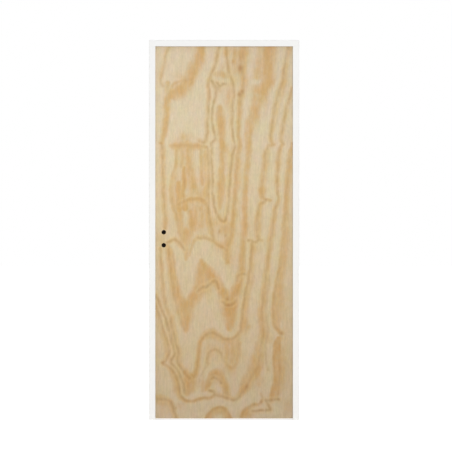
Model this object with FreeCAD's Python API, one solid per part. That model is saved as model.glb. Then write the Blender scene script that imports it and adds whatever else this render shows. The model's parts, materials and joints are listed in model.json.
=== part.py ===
"""A flush hollow core door leaf, hung in a rebated frame of lining boards and stops.

Sizes are in millimetres. +Z is up and the floor is at z = 0. The front, which the leaf swings away
from, faces -Y. The hinges are on the +X side and the lock is on the -X side. The origin is at floor
level, on the wall face of the hinge jamb, in the middle of the lining's depth.
"""

import FreeCAD
import Part

import os

# The doorway and its lining, a board on three sides.
opening_width = 738.0
opening_height = 2006.0
lining_thickness = 22.0
lining_depth = 72.0
lining_arris = 2.0

# The stops that the leaf closes against, flush with the lining's front, so that both make one flat face.
stop_thickness = 12.0
stop_arris = 2.0

# The clearances round the leaf. The lock edge swings 1.5 mm nearer to its jamb as it opens.
hinge_gap = 5.0
lock_gap = 6.5
head_gap = 5.0
floor_gap = 6.0
stop_gap = 5.0

# The leaf: two plywood skins on a softwood frame.
leaf_thickness = 40.0
skin_thickness = 3.5
stile_width = 35.0
top_rail_width = 35.0
bottom_rail_width = 60.0
vent_diameter = 6.0

# The block beside the lock stile that the lock is let into.
lock_block_width = 60.0
lock_block_length = 500.0

# The expanded paper core. Its cells are fitted to the space in whole numbers.
cell_width = 97.0
cell_row = 96.0
paper_wall = 1.0

# The mortice lock and the bores for its handle and key.
spindle_height = 1008.0
key_drop = 70.0
backset = 50.0
bore_diameter = 22.0
forend_length = 235.0
forend_width = 20.0
forend_thickness = 3.0
case_height = 165.0
case_depth = 80.0
case_thickness = 14.0
case_wall = 3.0
mortice_clearance = 1.0
follower_diameter = 18.0
follower_clearance = 0.1
spindle_square = 7.0
spindle_stop = 2.0
key_eye_diameter = 9.0
key_slot_width = 4.5
key_slot_drop = 13.0

# The two bolts, drawn back flush with the forend.
bolt_thickness = 11.0
bolt_length = 30.0
bolt_clearance = 0.2
latch_height = 20.0
dead_bolt_height = 28.0
latch_nose = 10.0

# The strike plate on the lock jamb, with a keep behind each window.
strike_length = 170.0
strike_width = 22.0
strike_thickness = 2.0
keep_clearance = 2.0
keep_depth = 14.0

# The lift-off hinges: half of each barrel on the frame, half on the leaf.
hinge_length = 100.0
hinge_plate_width = 30.0
hinge_plate_thickness = 2.5
hinge_plate_corner = 8.0
barrel_diameter = 14.0
barrel_chamfer = 1.0
barrel_standoff = 0.5
pin_diameter = 8.0
pin_clearance = 0.1
pin_chamfer = 1.0
pin_tip_gap = 2.0
barrel_cap = 8.0
collar_thickness = 2.0
collar_play = 0.3
top_hinge_drop = 200.0
bottom_hinge_rise = 240.0

# Places worked out from the sizes above.
frame_width = opening_width + 2 * (stop_thickness + lining_thickness)
frame_height = opening_height + stop_thickness + lining_thickness
frame_front = -lining_depth / 2
frame_back = lining_depth / 2

hinge_face = -lining_thickness
lock_face = lining_thickness - frame_width
head_face = frame_height - lining_thickness

leaf_left = lock_face + lock_gap
leaf_right = hinge_face - hinge_gap
leaf_bottom = floor_gap
leaf_top = head_face - head_gap
leaf_back = frame_back
leaf_front = leaf_back - leaf_thickness
leaf_middle = (leaf_front + leaf_back) / 2
frame_of_leaf = (leaf_front + skin_thickness, leaf_back - skin_thickness)

stop_back = leaf_front - stop_gap
stop_front = frame_front

lock_axis = leaf_left + backset
key_height = spindle_height - key_drop
lock_height = (spindle_height + key_height) / 2
case_left = leaf_left + forend_thickness

core_left = leaf_left + stile_width
core_right = leaf_right - stile_width
core_bottom = leaf_bottom + bottom_rail_width
core_top = leaf_top - top_rail_width
block_right = core_left + lock_block_width

pin_x = (hinge_face + leaf_right) / 2
barrel_radius = barrel_diameter / 2
pin_y = leaf_back + barrel_standoff + barrel_radius
hinge_heights = {
    "lower": leaf_bottom + bottom_hinge_rise,
    "middle": (leaf_bottom + bottom_hinge_rise + leaf_top - top_hinge_drop) / 2,
    "upper": leaf_top - top_hinge_drop,
}

ALONG_X = FreeCAD.Vector(1, 0, 0)
ALONG_Y = FreeCAD.Vector(0, 1, 0)
ALONG_Z = FreeCAD.Vector(0, 0, 1)


def block(x, y, z):
    """A box from three (low, high) pairs."""
    corner = FreeCAD.Vector(x[0], y[0], z[0])
    return Part.makeBox(x[1] - x[0], y[1] - y[0], z[1] - z[0], corner)


def about(middle, size):
    """The (low, high) pair of a size set evenly about a middle."""
    return (middle - size / 2, middle + size / 2)


def prism(points, direction):
    """The solid that a flat outline sweeps along a direction."""
    return Part.Face(Part.makePolygon(points + points[:1])).extrude(direction)


def front_prism(outline, y):
    """A solid whose outline is seen from the front, as (x, z) points, between two depths."""
    points = [FreeCAD.Vector(px, y[0], pz) for px, pz in outline]
    return prism(points, ALONG_Y * (y[1] - y[0]))


def round_rod(diameter, start, direction, length):
    """A plain round bar, used for pins, holes and bores."""
    return Part.makeCylinder(diameter / 2, length, start, direction)


def rounded_edges(solid, radius, wanted):
    """The solid with a fillet on the straight edges that wanted picks by their ends."""
    edges = [e for e in solid.Edges if wanted(*(v.Point for v in e.Vertexes))]
    return solid.makeFillet(radius, edges)


def round_ended_plate(left, thickness, width, length, height):
    """A plate with half-round ends, on a vertical edge that faces along X."""
    radius = width / 2
    straight = length / 2 - radius
    low, high = height - straight, height + straight
    near, far = leaf_middle - radius, leaf_middle + radius
    corner = [FreeCAD.Vector(left, y, z) for y, z in ((near, low), (near, high), (far, high), (far, low))]
    top = FreeCAD.Vector(left, leaf_middle, high + radius)
    bottom = FreeCAD.Vector(left, leaf_middle, low - radius)
    outline = Part.Wire([
        Part.LineSegment(corner[0], corner[1]).toShape(),
        Part.Arc(corner[1], top, corner[2]).toShape(),
        Part.LineSegment(corner[2], corner[3]).toShape(),
        Part.Arc(corner[3], bottom, corner[0]).toShape(),
    ])
    return Part.Face(outline).extrude(ALONG_X * thickness)


# The frame.

def mitred_frame(outer_inset, thickness, y, arris, eased):
    """Two jambs and a head, mitred together, from an inset off the wall and a board's thickness.

    eased picks the long edges that are rounded, from whether an edge is an inner and a front one.
    """
    left, right = outer_inset - frame_width, -outer_inset
    top = frame_height - outer_inset
    in_left, in_right, in_top = left + thickness, right - thickness, top - thickness
    outlines = {
        "hinge": [(right, 0), (right, top), (in_right, in_top), (in_right, 0)],
        "lock": [(left, 0), (left, top), (in_left, in_top), (in_left, 0)],
        "head": [(left, top), (right, top), (in_right, in_top), (in_left, in_top)],
    }
    runs = {"hinge": ALONG_Z, "lock": ALONG_Z, "head": ALONG_X}
    inner = {
        "hinge": lambda p: abs(p.x - in_right) < arris,
        "lock": lambda p: abs(p.x - in_left) < arris,
        "head": lambda p: abs(p.z - in_top) < arris,
    }
    members = {}
    for side, outline in outlines.items():
        def wanted(start, end, side=side):
            along = abs((end - start).normalize().dot(runs[side])) > 0.999
            return along and eased(inner[side](start), abs(start.y - y[0]) < arris)
        members[side] = rounded_edges(front_prism(outline, y), arris, wanted)
    return members


def linings():
    """The lining boards, left sharp along the joint with the stops."""
    depth = (frame_front, frame_back)
    members = mitred_frame(
        0.0, lining_thickness, depth, lining_arris, lambda inner, front: not (inner and front))
    hinge_jamb = members["hinge"]
    for height in hinge_heights.values():
        hinge_jamb = hinge_jamb.cut(frame_plate(height))
    lock_jamb = members["lock"].cut(strike_blank())
    for keep in keeps():
        lock_jamb = lock_jamb.cut(keep)
    return {"hinge_jamb": hinge_jamb, "lock_jamb": lock_jamb, "head_jamb": members["head"]}


def stops():
    depth = (stop_front, stop_back)
    members = mitred_frame(
        lining_thickness, stop_thickness, depth, stop_arris, lambda inner, front: inner)
    return {f"{side}_stop": member for side, member in members.items()}


# The strike plate on the lock jamb.

def strike_blank():
    behind = lock_face - strike_thickness
    return round_ended_plate(behind, strike_thickness, strike_width, strike_length, lock_height)


def keeps():
    """The two pockets that the bolts shoot into, cut through the strike plate and on into the jamb."""
    depth = (lock_face - strike_thickness - keep_depth, lock_face)
    across = about(leaf_middle, bolt_thickness + 2 * keep_clearance)
    bolts = ((spindle_height, latch_height), (key_height, dead_bolt_height))
    return [block(depth, across, about(z, size + 2 * keep_clearance)) for z, size in bolts]


def strike_plate():
    plate = strike_blank()
    for keep in keeps():
        plate = plate.cut(keep)
    return plate


# The leaf.

def lock_bores(y):
    """The handle and key holes between two depths."""
    starts = [FreeCAD.Vector(lock_axis, y[0], z) for z in (spindle_height, key_height)]
    return [round_rod(bore_diameter, start, ALONG_Y, y[1] - y[0]) for start in starts]


def mortice():
    """The slot for the lock case, open at the lock edge."""
    reach = case_left + case_depth + mortice_clearance
    thickness = case_thickness + 2 * mortice_clearance
    height = case_height + 2 * mortice_clearance
    return block((leaf_left, reach), about(leaf_middle, thickness), about(lock_height, height))


def skins():
    face = ((leaf_left, leaf_right), (leaf_bottom, leaf_top))
    front = (leaf_front, frame_of_leaf[0])
    back = (frame_of_leaf[1], leaf_back)
    front_skin = block(face[0], front, face[1])
    back_skin = block(face[0], back, face[1])
    for bore in lock_bores(front):
        front_skin = front_skin.cut(bore)
    for bore in lock_bores(back):
        back_skin = back_skin.cut(bore)
    for height in hinge_heights.values():
        back_skin = back_skin.cut(leaf_plate(height))
    return {"front_skin": front_skin, "back_skin": back_skin}


def stiles():
    tall = (leaf_bottom, leaf_top)
    hinge_stile = block((core_right, leaf_right), frame_of_leaf, tall)
    for height in hinge_heights.values():
        hinge_stile = hinge_stile.cut(leaf_plate(height))
    lock_stile = block((leaf_left, core_left), frame_of_leaf, tall)
    lock_stile = lock_stile.cut(forend_blank()).cut(mortice())
    return {"hinge_stile": hinge_stile, "lock_stile": lock_stile}


def rails():
    """The two rails, each drilled in the middle with a vent that lets the core breathe."""
    spans = {"top_rail": (core_top, leaf_top), "bottom_rail": (leaf_bottom, core_bottom)}
    middle = (core_left + core_right) / 2
    made = {}
    for name, (low, high) in spans.items():
        vent = round_rod(vent_diameter, FreeCAD.Vector(middle, leaf_middle, low), ALONG_Z, high - low)
        made[name] = block((core_left, core_right), frame_of_leaf, (low, high)).cut(vent)
    return made


def lock_block():
    body = block((core_left, block_right), frame_of_leaf, about(lock_height, lock_block_length))
    body = body.cut(mortice())
    for bore in lock_bores(frame_of_leaf):
        body = body.cut(bore)
    return body


def honeycomb_core():
    """One sheet of expanded paper cells that fills the space between stiles, rails and lock block."""
    block_low, block_high = about(lock_height, lock_block_length)
    space = [
        (core_left, core_bottom), (core_right, core_bottom), (core_right, core_top),
        (core_left, core_top), (core_left, block_high), (block_right, block_high),
        (block_right, block_low), (core_left, block_low),
    ]
    corners = [FreeCAD.Vector(x, frame_of_leaf[0], z) for x, z in space]
    sheet = Part.Face(Part.makePolygon(corners + corners[:1]))
    columns = max(2, round((core_right - core_left) / cell_width))
    rows = max(2, round((core_top - core_bottom) / cell_row))
    step_x = (core_right - core_left) / columns
    step_z = (core_top - core_bottom) / rows
    shrink = 1 - paper_wall / step_x
    half = step_x / 2 * shrink
    tip, shoulder = step_z * 2 / 3 * shrink, step_z / 3 * shrink
    right_side = [(0, tip), (half, shoulder), (half, -shoulder)]
    hexagon = right_side + [(-x, -z) for x, z in right_side]
    cells = []
    for row in range(rows + 1):
        middle_z = core_bottom + row * step_z
        for column in range(columns + 1):
            middle_x = core_left + (column + 0.5 * (row % 2)) * step_x
            ring = [FreeCAD.Vector(middle_x + x, frame_of_leaf[0], middle_z + z) for x, z in hexagon]
            cells.append(Part.Face(Part.makePolygon(ring + ring[:1])))
    paper = max(sheet.cut(cells).Faces, key=lambda face: face.Area)
    return paper.extrude(ALONG_Y * (frame_of_leaf[1] - frame_of_leaf[0]))


# The lock.

def forend_blank():
    return round_ended_plate(leaf_left, forend_thickness, forend_width, forend_length, lock_height)


def bolt_channel(height, size):
    """The way that a bolt slides in, through the forend and into the case."""
    across = about(leaf_middle, bolt_thickness + 2 * bolt_clearance)
    return block((leaf_left, leaf_left + bolt_length), across, about(height, size + 2 * bolt_clearance))


def latch_bolt():
    """The spring latch, with its nose bevelled on the side that meets the strike as the leaf closes."""
    near, far = about(leaf_middle, bolt_thickness)
    low, high = about(spindle_height, latch_height)
    heel = leaf_left + bolt_length
    outline = [(heel, near), (leaf_left + latch_nose, near), (leaf_left, far), (heel, far)]
    points = [FreeCAD.Vector(x, y, low) for x, y in outline]
    return prism(points, ALONG_Z * (high - low))


def dead_bolt():
    reach = (leaf_left, leaf_left + bolt_length)
    return block(reach, about(leaf_middle, bolt_thickness), about(key_height, dead_bolt_height))


def keyhole(y):
    """The eye and slot that a lever key turns in, between two depths."""
    eye = round_rod(key_eye_diameter, FreeCAD.Vector(lock_axis, y[0], key_height), ALONG_Y, y[1] - y[0])
    slot = block(about(lock_axis, key_slot_width), y, (key_height - key_slot_drop, key_height))
    return eye.fuse(slot).removeSplitter()


def spindle_sockets(y):
    """The square sockets for the two handles' half spindles, with a stop between them."""
    stop = about(leaf_middle, spindle_stop)
    square = (about(lock_axis, spindle_square), about(spindle_height, spindle_square))
    return [block(square[0], reach, square[1]) for reach in ((y[0], stop[0]), (stop[1], y[1]))]


def lock_pieces():
    through = about(leaf_middle, case_thickness)
    centre = FreeCAD.Vector(lock_axis, through[0], spindle_height)
    channels = [bolt_channel(spindle_height, latch_height), bolt_channel(key_height, dead_bolt_height)]
    case = block((case_left, case_left + case_depth), through, about(lock_height, case_height))
    case = case.cut(round_rod(follower_diameter + 2 * follower_clearance, centre, ALONG_Y, case_thickness))
    for wall in ((through[0], through[0] + case_wall), (through[1] - case_wall, through[1])):
        case = case.cut(keyhole(wall))
    forend = forend_blank()
    for channel in channels:
        case = case.cut(channel)
        forend = forend.cut(channel)
    follower = round_rod(follower_diameter, centre, ALONG_Y, case_thickness)
    for socket in spindle_sockets(through):
        follower = follower.cut(socket)
    return {
        "lock_case": case,
        "lock_forend": forend,
        "latch_bolt": latch_bolt(),
        "dead_bolt": dead_bolt(),
        "spindle_follower": follower,
    }


# The hinges.

def hinge_plate(inner_face, outward, height):
    """A hinge's flat plate, let in flush with a face; outward is the side of the face it is sunk on."""
    depth = (leaf_back - hinge_plate_width, leaf_back)
    x = sorted((inner_face, inner_face + outward * hinge_plate_thickness))
    z = about(height, hinge_length)
    plate = block(x, depth, z)

    def rounded(start, end):
        across = abs((end - start).normalize().dot(ALONG_X)) > 0.999
        return across and start.y < leaf_middle
    return rounded_edges(plate, hinge_plate_corner, rounded)


def frame_plate(height):
    return hinge_plate(hinge_face, 1, height)


def leaf_plate(height):
    return hinge_plate(leaf_right, -1, height)


def turned(outline):
    """A piece turned about the pin's axis from an outline of (radius, height) points."""
    points = [FreeCAD.Vector(pin_x + radius, pin_y, z) for radius, z in outline]
    face = Part.Face(Part.makePolygon(points + points[:1]))
    return face.revolve(FreeCAD.Vector(pin_x, pin_y, 0), ALONG_Z, 360)


def barrel(inner, outer):
    """Half of the barrel, square where the halves meet and chamfered at its outer end."""
    rim = barrel_radius - barrel_chamfer
    shoulder = outer - barrel_chamfer if outer > inner else outer + barrel_chamfer
    return turned([(0, inner), (barrel_radius, inner), (barrel_radius, shoulder), (rim, outer), (0, outer)])


def hinge_pin(foot, tip, collar):
    """The pin, with the collar that the leaf's half of the barrel turns on."""
    radius = pin_diameter / 2
    low, high = collar
    return turned([
        (0, foot), (radius, foot), (radius, low), (barrel_radius, low), (barrel_radius, high),
        (radius, high), (radius, tip - pin_chamfer), (radius - pin_chamfer, tip), (0, tip),
    ])


def knuckle_web(inner_face, outward, low, high):
    """The curl of plate that runs from the edge of its face into the barrel."""
    back = inner_face + outward * hinge_plate_thickness
    outline = [(back, leaf_back), (inner_face, leaf_back), (pin_x, pin_y), (back, pin_y)]
    points = [FreeCAD.Vector(x, y, low) for x, y in outline]
    return prism(points, ALONG_Z * (high - low))


def hinge_half(plate, inner_face, outward, inner, outer, bore):
    """A plate and its own half of the barrel, bored for the pin."""
    low, high = sorted((inner, outer))
    half = plate.fuse([knuckle_web(inner_face, outward, low, high), barrel(inner, outer)])
    return half.cut(bore).removeSplitter()


def hinge(name, height):
    """One hinge: the frame's half with its pin, and the leaf's half that lifts off."""
    low, high = about(height, hinge_length)
    collar = about(height, collar_thickness)
    bore_top = high - barrel_cap
    bore_start = FreeCAD.Vector(pin_x, pin_y, low)
    bore = round_rod(pin_diameter + 2 * pin_clearance, bore_start, ALONG_Z, bore_top - low)
    leaf_seat = collar[1] + collar_play
    return {
        f"{name}_hinge_frame_half": hinge_half(frame_plate(height), hinge_face, 1, collar[0], low, bore),
        f"{name}_hinge_leaf_half": hinge_half(leaf_plate(height), leaf_right, -1, leaf_seat, high, bore),
        f"{name}_hinge_pin": hinge_pin(low, bore_top - pin_tip_gap, collar),
    }


def all_pieces():
    pieces = {**linings(), **stops(), "strike_plate": strike_plate()}
    pieces.update({**skins(), **stiles(), **rails()})
    pieces.update({"lock_block": lock_block(), "honeycomb_core": honeycomb_core(), **lock_pieces()})
    for name, height in hinge_heights.items():
        pieces.update(hinge(name, height))
    return pieces


os.makedirs("parts", exist_ok=True)
for node, shape in all_pieces().items():
    print(node, len(shape.Solids), "solids", round(shape.Volume / 1000, 2), "cm3", shape.isValid())
    shape.exportStep(f"parts/{node}.step")
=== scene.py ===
"""The looks of a flush hollow core door: a pine veneered leaf hung in a white painted lining."""

import json
import math

import bmesh
import bpy
import numpy as np
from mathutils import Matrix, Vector
from mathutils.geometry import delaunay_2d_cdt


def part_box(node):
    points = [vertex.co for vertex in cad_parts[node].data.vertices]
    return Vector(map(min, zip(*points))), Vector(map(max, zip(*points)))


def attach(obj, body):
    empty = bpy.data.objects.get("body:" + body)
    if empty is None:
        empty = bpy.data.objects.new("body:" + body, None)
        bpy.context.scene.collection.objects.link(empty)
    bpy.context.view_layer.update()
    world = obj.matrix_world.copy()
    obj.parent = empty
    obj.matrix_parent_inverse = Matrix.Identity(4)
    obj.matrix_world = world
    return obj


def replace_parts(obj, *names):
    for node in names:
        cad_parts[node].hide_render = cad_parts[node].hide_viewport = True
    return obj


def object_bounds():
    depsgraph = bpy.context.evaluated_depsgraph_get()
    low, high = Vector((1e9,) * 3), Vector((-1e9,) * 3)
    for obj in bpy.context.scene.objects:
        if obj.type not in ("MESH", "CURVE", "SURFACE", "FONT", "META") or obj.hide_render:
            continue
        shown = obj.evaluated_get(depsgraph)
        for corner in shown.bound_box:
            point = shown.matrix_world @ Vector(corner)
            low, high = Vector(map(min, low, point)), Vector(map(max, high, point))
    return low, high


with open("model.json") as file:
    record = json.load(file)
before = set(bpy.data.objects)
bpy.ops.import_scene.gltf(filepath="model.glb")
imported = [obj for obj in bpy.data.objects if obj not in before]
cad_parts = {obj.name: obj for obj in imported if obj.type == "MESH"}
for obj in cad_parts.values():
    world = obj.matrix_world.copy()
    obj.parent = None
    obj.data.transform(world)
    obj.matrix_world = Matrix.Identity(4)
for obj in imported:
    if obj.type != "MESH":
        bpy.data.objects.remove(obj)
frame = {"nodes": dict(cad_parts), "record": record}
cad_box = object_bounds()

bl_info = {
    "name": "Flush hollow core door",
    "version": (1, 0, 0),
    "blender": (4, 5, 0),
    "location": "View3D > Sidebar > Door",
    "description": "Dresses a hollow core door: veneered leaf, painted lining, lock, hinges and stage",
    "category": "Object",
}

MM = 0.001

# The photograph is this many pixels wide, and a pixel covers this much of the leaf.
PHOTO_WIDTH = 452
PIXEL = 5.379 * MM

# Sockets that go by number: those of Map Range, and those of Mix where it mixes colours.
VALUE, FROM_LOW, FROM_HIGH, TO_LOW, TO_HIGH = range(5)
SHARE, FIRST, SECOND, MIXED = 0, 6, 7, 2
# Noise keeps to about this part of the range from 0 to 1.
NOISE_RANGE = {FROM_LOW: 0.3, FROM_HIGH: 0.7}

# The figure of the veneer, drawn over the photograph. Its points count the photograph's pixels
# rightwards and downwards, and this one is the top left corner of the face that shows between the stops.
FIGURE_CORNER = (155.5, 46.7)

# How the figure is drawn, in pixels or as shares. A band fades between two parts of its reach, which grows
# with its width, and no place further off than the margin is touched.
BAND_PEAK, LATEWOOD_LIMIT = 0.92, 1.2
REACH_PER_WIDTH, LEAST_REACH = 1.25, 1.8
FADE_START, FADE_END = 0.1, 0.9
MARGIN_PER_WIDTH, LEAST_MARGIN = 1.3, 2
# The dark ring line, and the clear wood beside it.
LINE_HALF_WIDTH = 1.2
FLANK_OFFSET, FLANK_HALF_WIDTH, FLANK_PEAK = 2.6, 1.3, 0.85
# A path is sampled this closely, and no fade is narrower than this.
PATH_STEP, LEAST_WIDTH = 0.6, 0.6

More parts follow.
